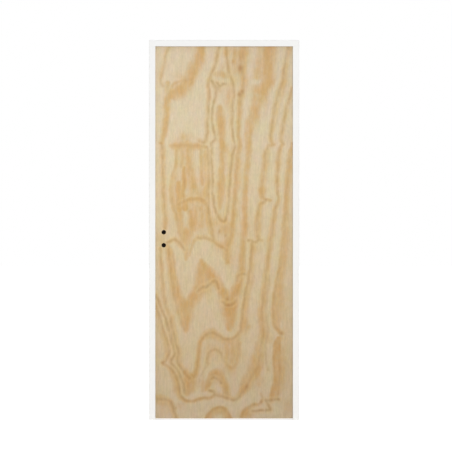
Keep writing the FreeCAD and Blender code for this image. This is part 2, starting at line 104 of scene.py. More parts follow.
# Latewood bands. Each has its strength, the strength of the dark ring line along it, the widths of its
# fade to the left and right of the way it is drawn, and its points, some with widths of their own.
BANDS = (
    # The broad band from the head that slants to the lock edge and runs down along it.
    (0.72, 0.0, (6, 5), (
        (200.5, 46, 6, 5), (201, 54, 6.5, 5.5), (199, 61, 7.5, 6.5), (195, 68, 8, 7), (191.5, 75, 8, 7),
        (188.5, 81, 9, 7), (184, 87, 9, 8), (178, 91.5, 9, 8), (172, 94.5, 7, 7), (168, 98, 4.5, 4),
        (167.2, 106, 4, 3.5), (166.5, 116, 4, 3.2), (165.3, 127, 3.8, 3), (163.8, 136, 3, 2.4),
        (162, 143, 2, 1.8),
    )),
    (0.5, 0.0, (2.6, 2.6), ((167.5, 83, 2, 2), (167.3, 90), (167.5, 97))),
    (0.5, 0.12, (1.6, 1.6), ((172.5, 86), (176.5, 82.5), (182, 81), (188, 80.3), (193, 78))),
    # The thin ring beside it at the lock edge, and the stripe that runs down to the handle bore.
    (0.28, 0.16, (2.6, 1.2), (
        (169, 46), (167, 52), (165.4, 59), (164.2, 66), (162.3, 74), (160.4, 79.5, 2.5, 1),
        (160.8, 83, 1.5, 1.5), (163.3, 86, 1.2, 1.5),
    )),
    (0.46, 0.24, (2.4, 2.6), (
        (161.5, 143, 2, 2), (162.6, 150), (163, 165), (163.1, 185), (163.8, 198), (164.8, 210),
        (165.3, 220), (165, 228, 1.6, 1.8),
    )),
    # The rings that step in from the lock edge below the bores.
    (0.4, 0.25, (1.8, 1.8), (
        (160.3, 249, 1.5, 1), (161.5, 268), (162.8, 288), (165.5, 305), (167.5, 311, 2.5, 2.5),
        (170.3, 318, 2.5, 2.5),
    )),
    (0.42, 0.4, (2.5, 4), (
        (170.3, 318), (172.7, 331), (175.8, 344), (178.2, 353), (177.3, 359.5, 2, 3),
        (179.5, 366, 2, 3), (183.5, 371.5, 2, 4), (186.5, 375.5, 2.5, 3.5), (189.8, 378.5, 2, 3),
    )),
    (0.4, 0.45, (2, 1.5), (
        (156, 295), (159, 303), (162.5, 311), (167, 323), (170.8, 337), (174, 349), (174.6, 355),
        (171, 362), (178, 371), (182.5, 383), (184.5, 393),
    )),
    (0.5, 0.32, (5, 1), (
        (155.5, 304, 3, 1), (159.5, 316, 4, 1), (164, 332), (168.5, 345), (169.4, 351),
        (166, 360.5, 3, 1), (162.5, 362.8, 1.2, 1.2), (166, 365, 1.5, 1), (170, 368, 2.5, 1),
    )),
    (0.72, 0.25, (3, 3), (
        (184.5, 371.5, 2, 2), (187.5, 375.5), (190.3, 378.5), (192, 375.5), (194, 376.5), (196, 371),
        (197.6, 363, 2.2, 2.2), (198.6, 353, 2, 2), (199.8, 344, 2, 2), (202.5, 338, 2, 2.5),
    )),
    (0.7, 0.35, (1.4, 1), (
        (170, 367.5, 2, 1), (173.5, 372, 4, 1), (177, 377.5, 6, 1.2), (178.8, 384, 6.5, 1.2),
        (179.8, 391, 6, 1.2), (181.5, 396.3, 3.5, 1), (185, 400, 2, 1.2), (190, 401.2), (195, 400.3),
        (203, 398), (208, 398.2), (212, 396.8), (215, 394.5),
    )),
    (0.5, 0.45, (1.2, 1.2), ((215, 394.5), (214.5, 392.5), (212, 391), (209.5, 390.5))),
    (0.65, 0.0, (5, 5), ((187, 379.5, 4, 4), (187, 386), (187.5, 393, 3, 3))),
    (0.5, 0.0, (3, 3.4), ((192.5, 379), (194, 384), (192, 390))),
    # The W of latewood across the lower half.
    (0.68, 0.0, (4.6, 4.6), (
        (167.5, 246, 2, 2), (168.7, 250, 3, 3), (170.8, 258, 4.4, 4), (172, 268, 5, 4),
        (173.6, 278, 5.4, 4.2), (175.6, 287, 5.4, 4.2), (178, 294, 5.2, 4.4), (181, 300, 6, 4.8),
        (184.5, 306, 8, 8.5), (185.8, 312.5, 8.5, 8.5), (185.7, 319.5, 7, 7), (185.6, 325.5, 5, 5),
        (185.5, 329.5, 3, 3),
    )),
    (0.64, 0.0, (5.5, 5.5), (
        (189, 303, 8, 5.5), (193, 297, 8, 5), (196.8, 290, 8, 5), (200, 283, 8.5, 6),
        (201.6, 276.5, 8.5, 7.5), (202, 270, 7, 7.5), (201.6, 264, 4.5, 4.5), (201.5, 261.5, 2.5, 2.5),
    )),
    (0.74, 0.0, (6, 6), (
        (203.5, 265, 3, 3.5), (206.5, 270.5), (210.5, 275, 8.5, 6.5), (214, 279.5, 7, 7),
        (218, 284, 5, 5.5), (221, 289, 4.5, 4), (224.5, 294.5, 6, 6.5), (227.5, 300.5, 8, 8.5),
        (229, 308, 8, 8), (229.5, 316, 7, 6.5), (229.5, 324, 5, 5), (229.5, 329, 2.5, 2.5),
    )),
    (0.22, 0.26, (1, 1), (
        (168, 250), (171, 272), (173.3, 291), (177.3, 309), (181.8, 324.5), (184, 330),
    )),
    (0.15, 0.42, (1, 1), (
        (198.5, 291), (203, 286.5), (206, 287.5), (209, 284.5), (213, 282), (216, 281.5), (218.6, 288),
    )),
    (0.2, 0.36, (1, 1), ((222.5, 302), (225.5, 304.4), (230, 304.8), (234, 303), (236.5, 300))),
    (0.25, 0.3, (1.2, 1.2), ((236.5, 281), (238, 276.8), (241, 274.2), (244.5, 274.2), (247, 275.5))),
    # The band from the head on the right, which narrows to a stripe and ends in the W.
    (0.34, 0.0, (5, 6), ((261.5, 46), (261, 56), (260.5, 66), (259.5, 75), (258, 80, 2, 3))),
    (0.8, 0.0, (7, 8), (
        (267.8, 46), (267.6, 56), (267.6, 66), (268, 75), (268.2, 81, 8, 7), (265.5, 87, 9, 7),
        (262, 92, 9, 7),
    )),
    (0.56, 0.0, (2.6, 2.6), (
        (262, 92, 9, 7), (258.8, 100, 9, 7), (256.5, 108, 8, 6), (254, 116, 7.5, 5), (251, 124, 6, 3.6),
        (249.4, 134, 5, 3), (249, 144, 4, 3), (249, 152, 2.6, 2.6), (247.5, 163, 2.6, 2.8),
        (246, 176, 2.4, 2.6), (245.2, 190, 2.4, 2.4), (245, 206, 2.4, 2.2), (244.8, 226, 2.6, 2.4),
        (243.2, 246, 2.8, 2.6), (242.2, 258, 3, 3), (241, 268, 3.4, 3.4),
    )),
    (0.74, 0.0, (5, 5), (
        (241.5, 268, 3.2, 4), (240.4, 275, 3.6, 5), (238.8, 282, 4.2, 5.5), (236.5, 290, 6, 6.5),
        (233.8, 298, 7, 7.5), (231.5, 307, 8, 7), (230.5, 316, 6.5, 6.5),
    )),
    # The arch under the right arm of the W, from its right leg down and round to the left.
    (0.5, 0.38, (1.5, 5.5), (
        (252, 243, 1.2, 3), (250.6, 262, 1.4, 3.6), (249, 277), (246, 290), (243.5, 304), (241.6, 320),
        (240.8, 331, 1.5, 2.4),
    )),
    (0.54, 0.32, (5, 3), (
        (202.7, 338.4, 2.5, 3.5), (205.7, 335, 4, 4), (210, 333, 5.5, 5), (214, 333.3, 5.5, 4.5),
        (218, 335.5, 5.5, 2), (225, 339.2, 6, 1.4), (234, 337.8, 6, 1.4), (240.8, 331, 2, 1.4),
    )),
    (0.36, 0.0, (2.2, 2.2), ((226.5, 341), (226.3, 350), (226.8, 358, 1.8, 1.8))),
    (0.4, 0.0, (2.6, 2.6), ((233, 341), (233.2, 352), (232.5, 362, 1.8, 1.8))),
    (0.45, 0.0, (2.6, 2), ((237.5, 340), (237.4, 350), (236.8, 360, 1.5, 1.5))),
    (0.3, 0.15, (2, 2), (
        (224.5, 358), (227.5, 365.5), (232, 367.5), (236, 364), (238.5, 356), (239.3, 343),
    )),
    (0.22, 0.28, (1.2, 1.2), (
        (207, 363), (207.7, 355.5), (209.5, 351.8), (213, 350), (217.5, 350.3), (220.5, 353),
        (222.5, 357.5), (224.5, 361.5),
    )),
    # The small arch at the foot.
    (0.78, 0.1, (3.6, 3.6), (
        (206.8, 389, 1.6, 3.4), (209.3, 383.5, 2.2, 5), (211.6, 378, 3, 5.5), (214, 374.4, 3.4, 5.5),
        (217.2, 373.6, 4, 5.5), (220.3, 376.4, 4, 4.6), (222.8, 381.5, 4, 4.4), (225.2, 387.5, 4, 4.2),
        (227.5, 393.5, 4, 3.4), (228.5, 397.5, 3, 2),
    )),
    (0.3, 0.4, (1, 1), ((212, 378.5), (215, 377.8), (218.5, 379.5), (221, 383))),
    (0.35, 0.1, (1.8, 1.8), ((203.5, 374), (202.8, 382), (203, 390))),
    (0.2, 0.2, (1.2, 1.2), ((197.5, 388), (200, 379), (204, 370), (208.5, 363.5))),
    # The two long rings on the right, with the steps where the growth was checked.
    (0.45, 0.28, (2.2, 4.5), (
        (288, 46, 2, 4), (285.6, 58, 2.5, 5), (284.3, 67, 2.5, 5), (283, 77), (281.7, 84),
        (277.7, 96.5), (274.6, 110), (272, 125), (270.3, 136, 1.8, 1.8), (272, 142.5, 1.4, 1.4),
        (273.8, 144.8, 1, 1),
    )),
    (0.46, 0.22, (2.4, 4), (
        (271.5, 145, 1, 1), (268.3, 146.5, 1.6, 2.4), (265.4, 152, 2.2, 5), (264.8, 160, 2.4, 5),
        (263.4, 172, 2.4, 4.4), (261.8, 184, 3, 4), (261.4, 191, 3.6, 4), (262.5, 196.5, 3, 2.4),
        (265.5, 199.3, 1.6, 1.4), (270.3, 200.3, 1, 1),
    )),
    (0.42, 0.28, (1.8, 4), (
        (266, 200.8, 1, 1), (260, 205), (257.5, 214), (256.6, 224), (256.6, 232),
        (258.7, 239.3, 1.2, 1.4), (262, 240.3, 1, 1),
    )),
    (0.4, 0.4, (1.2, 1), ((248.5, 240.2), (251, 240.8), (253.5, 242), (256, 241.8), (258.5, 240.2))),
    (0.42, 0.22, (2.2, 2), (
        (292.5, 88, 1.5, 1.5), (288.3, 101.5), (285.6, 113), (282.7, 127), (281.2, 138),
        (283, 144.5, 1.2, 1.2),
    )),
    (0.56, 0.24, (2.4, 2.6), (
        (282, 144.5, 1.2, 1.2), (279.3, 151, 2, 2), (278.1, 164), (276.9, 179, 2, 2.4),
        (277.6, 193, 2, 2), (278.3, 199, 1.6, 1.8), (275, 210, 2.2, 2.2), (272.8, 224, 3, 3),
        (270.6, 241, 3, 3), (268.2, 256, 2.4, 3), (265.9, 277, 2.8, 3.2), (263.4, 297, 4, 3.6),
        (262, 314, 4.5, 4), (263.8, 329.5, 4.5, 4), (261, 347, 6, 3.4), (259.2, 362, 8, 5),
        (255, 371, 9, 6), (249.5, 380, 8, 5), (245, 388.5, 7, 4), (239.5, 395.5, 2.5, 2),
    )),
    (0.2, 0.25, (1, 1), (
        (270, 276), (268, 290), (266.3, 306), (266, 318), (268.2, 329), (266.8, 338), (265.6, 350),
        (267.5, 370),
    )),
    (0.5, 0.4, (1, 3), (
        (217.5, 395.2), (222, 396.5), (227, 398), (231, 399.6), (236, 399.6), (240, 396),
    )),
    # The band down the hinge edge.
    (0.52, 0.1, (3, 3.4), (
        (292.5, 144, 1, 2), (290.2, 153, 2, 3.4), (289.2, 163, 2.6, 4), (288, 174, 2.6, 4),
        (286.9, 185, 2.4, 4), (286, 196, 2, 4), (285.4, 208, 2, 4), (284.5, 221, 2.2, 5),
        (283.7, 233, 2.4, 6.5), (282.6, 246, 2.4, 7), (281.3, 257, 2.2, 7),
    )),
    (0.6, 0.2, (1.6, 8), (
        (281.3, 257, 1.6, 7), (278.8, 271, 1.4, 7.5), (276.2, 284, 1.6, 9), (274.2, 297, 1.6, 10),
        (273, 311, 1.6, 10), (274, 324, 1.6, 7), (278.5, 330.7, 1.6, 3), (281.5, 333.5, 1.8, 2.2),
    )),
    (0.74, 0.12, (1.4, 10), (
        (278, 338, 1, 4), (275.8, 342, 1, 7), (274.2, 349, 1, 9), (274, 362), (275, 378, 1.4, 10),
        (272.4, 391, 1.4, 8.5), (270.8, 399, 1, 4),
    )),
    (0.66, 0.1, (4, 1), (
        (280, 341), (279.4, 350), (279.3, 362), (279.6, 378), (278.4, 391), (276.8, 397),
    )),
    (0.5, 0.5, (1, 1), ((278.5, 399.2), (271, 400), (268, 400.6), (265.5, 399.8))),
    # The long closed figure in the middle of the upper half: outer ring, inner ring and core.
    (0.46, 0.34, (2.4, 1.4), (
        (218.8, 46, 2, 1.4), (216.8, 59, 2, 1.4), (215, 66), (210.7, 76, 1.8, 1.6),
        (208.3, 84, 1.8, 1.6), (209.5, 93), (208.7, 106), (207.8, 121), (207, 136), (205, 142.3),
        (200, 141.3),
    )),
    (0.45, 0.35, (4, 1.2), (
        (206.5, 147.3, 1.5, 1.2), (208.3, 151, 2.5, 1), (208.8, 166), (208.7, 182), (208, 197, 3, 1),
        (208.8, 212, 2, 1.4), (211.3, 226, 2, 1.6), (213.5, 240, 1.4, 1.4),
    )),
    (0.33, 0.42, (1.4, 1.4), (
        (211, 80.5), (215.5, 88), (216, 92), (213.6, 104), (211.6, 116), (213.4, 130), (215.2, 138.5),
        (213, 141.6), (211.5, 145), (211.5, 159), (212.5, 174), (212.7, 190), (214, 204),
        (217.3, 215, 1.5, 1.8), (222, 221, 2, 2), (225, 220.5, 2, 2), (228, 211, 1.5, 2.5),
        (229.2, 194, 1.5, 2.5), (230.3, 176, 1.5, 2.5), (232, 158, 1.5, 2.5), (235, 144, 1.5, 1.5),
        (233.2, 138), (232.3, 124, 1.2, 2.2), (232.8, 108, 1.2, 2.4), (234, 93, 1.2, 2.4),
        (232.5, 82.5), (229.3, 73, 1.8, 1.4), (227, 60, 2.5, 1.8), (226.3, 46, 3, 2.4),
    )),
    (0.56, 0.16, (3, 3), (
        (244, 46, 5, 4.4), (242.8, 58, 5, 4.8), (242.6, 72, 4, 5), (243, 86, 4, 4.4),
        (240.8, 97, 4, 3.6), (239.6, 110), (238.6, 124, 2.4, 2.8), (238, 134, 2.2, 2.6),
        (239.8, 142, 2, 2.4), (238, 151, 2, 2.6), (236.7, 166, 2, 2.6), (235.6, 184, 2, 2.6),
        (234.7, 200, 2.2, 2.8), (233.6, 214, 2.6, 3), (232.3, 226, 3.4, 3.4), (231, 238, 3.4, 2.8),
        (228.5, 246, 6, 4), (227, 253, 5.5, 4.5), (227.5, 262, 2, 2),
    )),
    (0.58, 0.0, (4.2, 4.2), (
        (219.4, 107.5, 3, 3), (220, 114, 4.4, 5), (220.6, 125, 4, 5), (221.8, 138, 3, 4),
        (222, 150, 2, 2.6), (221.5, 163, 2, 2.6), (221.5, 177, 4.6, 4), (221, 187, 5, 4),
        (220.5, 198, 3.4, 3), (219.8, 208, 2, 2),
    )),
    # The burr above that figure.
    (0.5, 0.0, (3.4, 3.4), (
        (214.5, 74, 2, 2), (218, 74), (223, 74.5), (228, 75.5), (230.5, 77, 1.5, 1.5),
    )),
    (0.2, 0.45, (1, 1), ((212.3, 81.5), (214, 84.5), (218.5, 89.5))),
    (0.2, 0.45, (1, 1), ((216.5, 82.8), (219, 85), (221, 86), (223, 84.2), (225.5, 83.6))),
    (0.2, 0.35, (1, 1), ((218.5, 86.5), (219.5, 88.5), (220, 91))),
    # The mottled field between the stripe and that figure.
    (0.5, 0.12, (5, 3), (
        (171, 145.6, 1.8, 1.8), (176, 146), (186, 145.2), (196, 145.7), (201, 145.7),
        (206, 147.5, 2, 2),
    )),
    (0.4, 0.15, (1.6, 4), (
        (176, 150, 1.4, 1.6), (176, 163, 1.4, 2), (173, 173, 1.6, 3), (170.8, 185), (171.2, 196),
        (173, 206), (175.5, 214), (178.5, 227), (182, 243),
    )),
    (0.48, 0.24, (3.4, 1.4), (
        (179.5, 204), (184, 201), (190, 199.3), (196, 198.6), (201, 199.5), (205.3, 202.5),
        (207.5, 207), (209.3, 213),
    )),
    (0.7, 0.0, (2.8, 2.8), ((178.5, 183, 2, 2), (178.6, 190), (178.8, 200), (179, 210, 2.4, 2.4))),
    (0.6, 0.14, (2, 1.8), ((184, 168, 1.2, 1.2), (184.2, 176), (184, 184), (183.2, 194), (183, 203))),
    (0.75, 0.0, (2.6, 2.6), ((184.8, 202.5), (184.8, 208))),
    (0.36, 0.0, (2, 2), ((182, 148), (182, 156), (181.5, 166))),
    (0.38, 0.0, (2.2, 2.6), ((186.8, 143), (187.3, 152), (187.8, 163), (188.3, 174))),
    (0.24, 0.0, (2, 2), ((192.5, 170), (193.5, 180), (194, 187))),
    (0.42, 0.1, (1.8, 1.8), ((201.3, 149), (201.2, 160), (201.8, 172), (202.3, 184))),
    (0.45, 0.0, (2.2, 2.2), ((205.8, 152), (206, 166), (206.3, 180), (206.3, 196))),
    (0.34, 0.0, (2.2, 2.2), ((179, 211), (180, 219), (182, 230), (184, 244))),
    (0.44, 0.0, (1.8, 2.4), ((191, 212), (191.6, 222), (191, 232), (188.5, 246))),
    (0.34, 0.0, (2, 1.8), ((195.5, 212), (195, 218), (194, 230))),
    (0.3, 0.0, (2, 2), ((201.5, 208), (202, 216), (202, 226))),
    (0.45, 0.0, (2, 2), ((206.5, 210), (208, 220), (210, 232))),
    # The rings over the pale tongues between the bores and the middle.
    (0.5, 0.38, (2.4, 2.6), (
        (167.5, 242.5, 1.6, 1.2), (174, 239.7, 2, 2), (177.5, 241), (180.5, 244, 3, 2.6),
        (184, 249.5, 1.6, 1.5),
    )),
    (0.55, 0.0, (5, 4.5), ((186, 232), (186, 240), (186.3, 252, 3, 3), (186.3, 259, 1.2, 1.2))),
    (0.44, 0.06, (1.2, 3), ((189, 255), (191.5, 248), (194.5, 241.5), (198.5, 238))),
    (0.46, 0.3, (1.2, 2.4), (
        (198.5, 238), (203, 238), (208, 238.7), (212, 240.3), (220, 246, 2, 3), (227, 250.5, 2, 3),
    )),
    # The swirls along the foot.
    (0.54, 0.36, (3, 1.4), (
        (155, 398.8, 5, 3), (160, 399.2, 6, 4), (165, 399.4, 6, 4), (169.5, 401, 5, 2),
        (172.3, 405.5, 4, 1.6), (174, 411, 4, 1.6), (176.5, 418.5, 4, 1.6),
    )),
    (0.78, 0.26, (7, 1), (
        (205.6, 418.8), (208.6, 414.2), (212.4, 410.6), (216, 408.2, 8, 1), (220, 407.5, 9, 1),
        (224, 408.1, 8, 1), (226.6, 410.6), (231, 418.8),
    )),
    (0.62, 0.28, (4, 1), (
        (241.4, 416.3), (243.4, 411.5), (246.8, 408.3), (250.7, 406), (255, 404, 2, 1),
        (258.5, 404.5, 1.5, 1), (262, 400.5, 1, 1),
    )),
    (0.4, 0.5, (1.1, 1), ((253, 411), (262, 410.3), (270, 409.8), (268.8, 406.5), (266, 400.5))),
    (0.25, 0.16, (1, 1), ((261, 394), (262.5, 397), (263.5, 400))),
)

# Soft clouds of latewood, from the head down: middle, half-width, half-height and strength, which is
# below zero where the wood is paler.
CLOUDS = (
    (227, 52, 3.5, 5, 0.5), (234.5, 52, 2, 4.5, 0.45), (240.5, 52, 3.5, 5, 0.3), (202, 53, 2, 6, 0.25),
    (247, 54, 4, 6, 0.25), (267, 54, 2, 4.5, 0.35), (276, 54, 3, 6, 0.25), (285, 56, 4, 10, -0.25),
    (233, 61, 1.6, 5, 0.4), (236, 62, 5, 14, 0.15), (236, 66, 4, 9, 0.25), (223, 68, 3, 5, 0.25),
    (256, 68, 4, 12, 0.2), (178, 77, 4, 4, 0.2), (252, 79, 6, 4, 0.15), (256, 81.5, 6, 2.2, -0.35),
    (191, 83, 3, 3.5, 0.1), (270, 83, 3.5, 3, 0.2), (232, 85, 5, 14, 0.25), (219, 86, 8, 6, 0.12),
    (284, 86, 3, 9, 0.3), (217, 88, 6, 10, 0.12), (252, 88, 5, 6, 0.2), (186, 96, 4, 4, 0.15),
    (228, 100, 4, 14, 0.15), (229, 100, 4, 6, 0.2), (257, 101, 2.5, 5, -0.22), (266, 102, 3, 8, 0.2),
    (212, 106, 8, 3, -0.12), (165, 118, 3, 16, -0.12), (257, 118, 4, 10, 0.25),
    (220.5, 125, 5, 11, 0.3), (185, 136.5, 5, 4, 0.4), (272, 142, 3, 7, 0.25), (177, 143, 5, 6, 0.25),
    (247, 146, 5, 12, 0.12), (188, 147, 6, 5, 0.2), (222, 147, 5, 8, 0.25), (227.5, 155, 2.6, 12, 0.3),
    (197.5, 157, 3.4, 8, -0.2), (233, 160, 3, 20, 0.15), (191, 162, 3, 9, 0.15),
    (171, 166, 4, 10, -0.2), (190, 172, 14, 26, 0.24), (240, 172, 2.4, 22, 0.22),
    (196.5, 173, 2.5, 8, -0.1), (175, 179, 4, 5, 0.2), (185.5, 183, 3, 7, 0.2), (222, 186, 4, 9, 0.2),
    (193, 187, 6, 8, 0.25), (260.5, 190.5, 2, 3.5, 0.35), (186.3, 191, 1.6, 4, -0.2),
    (264, 191, 2.5, 5, 0.3), (202, 194, 6, 6, 0.2), (240, 196, 2.5, 5, -0.2), (276, 196, 5, 4, -0.25),
    (173, 199, 3.5, 4, 0.2), (203, 201, 4, 5, 0.22), (261, 205, 3, 6, 0.25), (184, 207, 5, 5, 0.2),
    (191, 216, 15, 20, 0.3), (185.7, 217, 1.8, 6, -0.4), (215, 223, 8, 10, 0.2), (199, 224, 3, 5, 0.2),
    (260, 224, 3, 10, 0.2), (222, 225, 5, 6, 0.25), (238, 225, 16, 40, 0.13), (247, 226, 3, 7, 0.18),
    (226, 228, 2.6, 10, 0.4), (218.5, 229, 2.2, 6, -0.15), (222, 232, 6, 5, 0.15),
    (162, 238, 4, 8, 0.35), (219, 246, 6, 5, 0.25), (190, 247, 4, 6, -0.25), (255, 252, 4, 14, 0.15),
    (243.5, 257, 3, 6, 0.2), (231, 262, 4, 6, 0.2), (275, 275, 4, 3, -0.25), (210, 285, 4, 6, 0.25),
    (205, 293, 8, 7, 0.2), (172, 296, 4, 14, 0.15), (226, 308, 9, 10, 0.15), (235, 308, 3, 5, 0.2),
    (245, 310, 2.5, 18, 0.2), (284.5, 310, 3, 22, 0.15), (178, 312, 5, 5, 0.2), (161, 318, 4, 6, -0.25),
    (228, 320, 3, 5, -0.2), (262, 320, 4, 14, 0.15), (234, 322, 3, 8, 0.25), (245.5, 324, 4, 6, 0.3),
    (248.5, 327, 2.2, 2, 0.3), (246, 330, 4, 6, 0.15), (270, 339, 3.5, 4, 0.3), (262, 346, 3, 6, -0.2),
    (212, 350, 8, 12, 0.25), (231, 352, 9, 12, 0.22), (178, 356, 6, 7, 0.2), (270, 357, 4, 8, -0.2),
    (253, 360, 4, 6, 0.22), (213, 367, 4, 3, -0.2), (284, 368, 4, 28, 0.22), (230, 369, 5, 4, 0.25),
    (256, 371, 3, 4, 0.2), (258, 372, 5, 8, 0.2), (230, 373, 5, 5, 0.22), (204, 376, 5, 5, -0.3),
    (188, 379, 7, 6, 0.35), (190, 379, 5, 6, 0.15), (215, 381, 4, 6, 0.2), (258, 382, 6, 5, 0.25),
    (244, 388, 3, 5, 0.25), (245, 388, 8, 7, 0.15), (272, 394, 6, 5, 0.15), (160, 396, 3, 3, 0.2),
    (181, 406, 5, 4, 0.25), (287, 406, 4, 6, 0.25), (165, 408, 5, 9, 0.2), (247, 413.5, 6, 4, 0.5),
)

# Knots and pitch flecks, from the head down: middle, half-width, half-height and strength.
KNOTS = (
    (240.2, 58, 1, 4, 0.35), (233, 61, 1, 1.6, 0.3), (240.3, 68, 2.3, 3.8, 0.75),
    (242, 91.5, 1.9, 2.2, 0.6), (239.3, 94.3, 1.9, 2.4, 0.6), (160, 143, 1.4, 1.2, 0.3),
    (184.2, 182, 1.2, 3, 0.25), (266, 199.5, 1.6, 1.2, 0.4), (219.3, 231.5, 1, 2, 0.5),
    (225.5, 235.5, 1, 1.4, 0.35), (227.5, 299, 1.6, 2, 0.55), (228.5, 305.5, 2.2, 1.8, 0.55),
    (281.8, 333.5, 1.6, 1.8, 0.4), (162.5, 362.8, 1.4, 1.2, 0.4), (246.2, 386.8, 1.6, 2, 0.5),
    (177, 388, 1.4, 2.4, 0.2), (261.5, 402, 1.2, 1.2, 0.45), (176, 408, 1, 1.4, 0.35),
)


def linear(colour):
    """An sRGB hex colour as linear red, green and blue."""
    shares = [int(colour[i:i + 2], 16) / 255 for i in (1, 3, 5)]
    return tuple(s / 12.92 if s <= 0.04045 else ((s + 0.055) / 1.055) ** 2.4 for s in shares)


def opaque(colour):
    """A linear colour with full alpha, as a colour socket takes it."""
    return (*colour, 1.0)


class DoorVeneer(bpy.types.PropertyGroup):
    """The pine veneer on both faces of the leaf."""

    earlywood: bpy.props.FloatVectorProperty(
        name="Earlywood", description="Pale wood between the growth rings",
        subtype="COLOR", min=0, max=1, default=linear("#E0CFB2"))
    latewood: bpy.props.FloatVectorProperty(
        name="Latewood", description="Tan wood of the growth rings",
        subtype="COLOR", min=0, max=1, default=linear("#CFA35D"))
    ring_line: bpy.props.FloatVectorProperty(
        name="Ring line", description="Thin dark line where a growth ring ends",
        subtype="COLOR", min=0, max=1, default=linear("#A88D5C"))
    ring_flank: bpy.props.FloatVectorProperty(
        name="Ring flank", description="Clear yellow wood, right beside a ring line",
        subtype="COLOR", min=0, max=1, default=linear("#E4CB98"))
    knot: bpy.props.FloatVectorProperty(
        name="Knot", description="Small knots and pitch flecks",
        subtype="COLOR", min=0, max=1, default=linear("#AE7A3E"))
    ply_edge: bpy.props.FloatVectorProperty(
        name="Ply edge", description="Cut edge of the plywood under the veneer",
        subtype="COLOR", min=0, max=1, default=linear("#CDB58A"))
    # The bore walls and a rim round each bore take this dark brown as painted shade, which stands in for
    # the shade inside the holes.
    bore_shade_colour: bpy.props.FloatVectorProperty(
        name="Bore_shade", description="Wood scorched by the hole saw round each bore",
        subtype="COLOR", min=0, max=1, default=linear("#24140B"))
    pixel: bpy.props.FloatProperty(
        name="Figure pixel", description="Size on the leaf of one pixel of the hand-drawn figure",
        unit="LENGTH", min=0.001, default=PIXEL)
    grid: bpy.props.FloatProperty(
        name="Mesh spacing", description="Distance between the points that carry the figure",
        unit="LENGTH", min=0.002, default=4.2 * MM)
    ease: bpy.props.FloatProperty(
        name="Eased edge", description="Width that sanding takes off each sharp edge",
        unit="LENGTH", min=0.0001, default=0.5 * MM)
    # This rim of painted shade widens the dark of each bore past the drilled hole.
    shaded_bore_rim: bpy.props.FloatProperty(
        name="Bore rim", description="Width of the scorched rim round each bore",
        unit="LENGTH", min=0.0001, default=1.2 * MM)


class DoorPaint(bpy.types.PropertyGroup):
    """The paint on the lining and its stops."""

    colour: bpy.props.FloatVectorProperty(
        name="Paint", description="White paint on the lining and stops",
        subtype="COLOR", min=0, max=1, default=linear("#F4F4F2"))
    roughness: bpy.props.FloatProperty(
        name="Roughness", description="Satin paint, rolled on",
        subtype="FACTOR", min=0, max=1, default=0.42)


class DoorHardware(bpy.types.PropertyGroup):
    """The lock, the hinges and their screws."""

    zinc: bpy.props.FloatVectorProperty(
        name="Zinc", description="Bright zinc plating",
        subtype="COLOR", min=0, max=1, default=linear("#C9CCCE"))
    nickel: bpy.props.FloatVectorProperty(
        name="Nickel", description="Nickel plating on the bolts",
        subtype="COLOR", min=0, max=1, default=linear("#CFC8BC"))
    lacquer: bpy.props.FloatVectorProperty(
        name="Lacquer", description="Black lacquer on the lock case",
        subtype="COLOR", min=0, max=1, default=linear("#100906"))
    head_radius: bpy.props.FloatProperty(
        name="Screw head radius", description="Countersunk head of a 4 mm screw",
        unit="LENGTH", min=0.001, default=4.0 * MM)
    head_rise: bpy.props.FloatProperty(
        name="Screw head rise", description="Height of the head over its plate",
        unit="LENGTH", min=0.0001, default=0.6 * MM)


class DoorStage(bpy.types.PropertyGroup):
    """The floor, the light and the camera."""

    sky: bpy.props.FloatProperty(
        name="Sky", description="Even white light from all round", min=0, default=0.62)
    key: bpy.props.FloatProperty(
        name="Key", description="Level light from the front", min=0, default=1.0)
    fill: bpy.props.FloatProperty(
        name="Fill", description="Level light from behind, which the front doesn't get", min=0, default=0.8)
    camera_distance: bpy.props.FloatProperty(
        name="Camera distance", description="From the lens to the leaf", unit="LENGTH", min=2, default=16.0)
    view_width: bpy.props.FloatProperty(
        name="View width", description="Width that the picture covers at the leaf",
        unit="LENGTH", min=0.5, default=PHOTO_WIDTH * PIXEL)
    view_middle: bpy.props.FloatVectorProperty(
        name="View middle", description="Middle of the picture in the leaf's plane, as x and z",
        size=2, unit="LENGTH", default=(-392.8 * MM, 1041.5 * MM))


def add(tree, kind, inputs=(), **settings):
    """Adds one node with its settings, and sets or links its inputs, given as {socket: value or output}."""
    made = tree.nodes.new(kind)
    for name, value in settings.items():
        setattr(made, name, value)
    for key, value in dict(inputs).items():
        if isinstance(value, bpy.types.NodeSocket):
            tree.links.new(value, made.inputs[key])
        else:
            made.inputs[key].default_value = value
    return made


def new_material(name):
    """An empty node material and its tree."""
    material = bpy.data.materials.new(name)
    material.use_nodes = True
    material.node_tree.nodes.clear()
    return material, material.node_tree


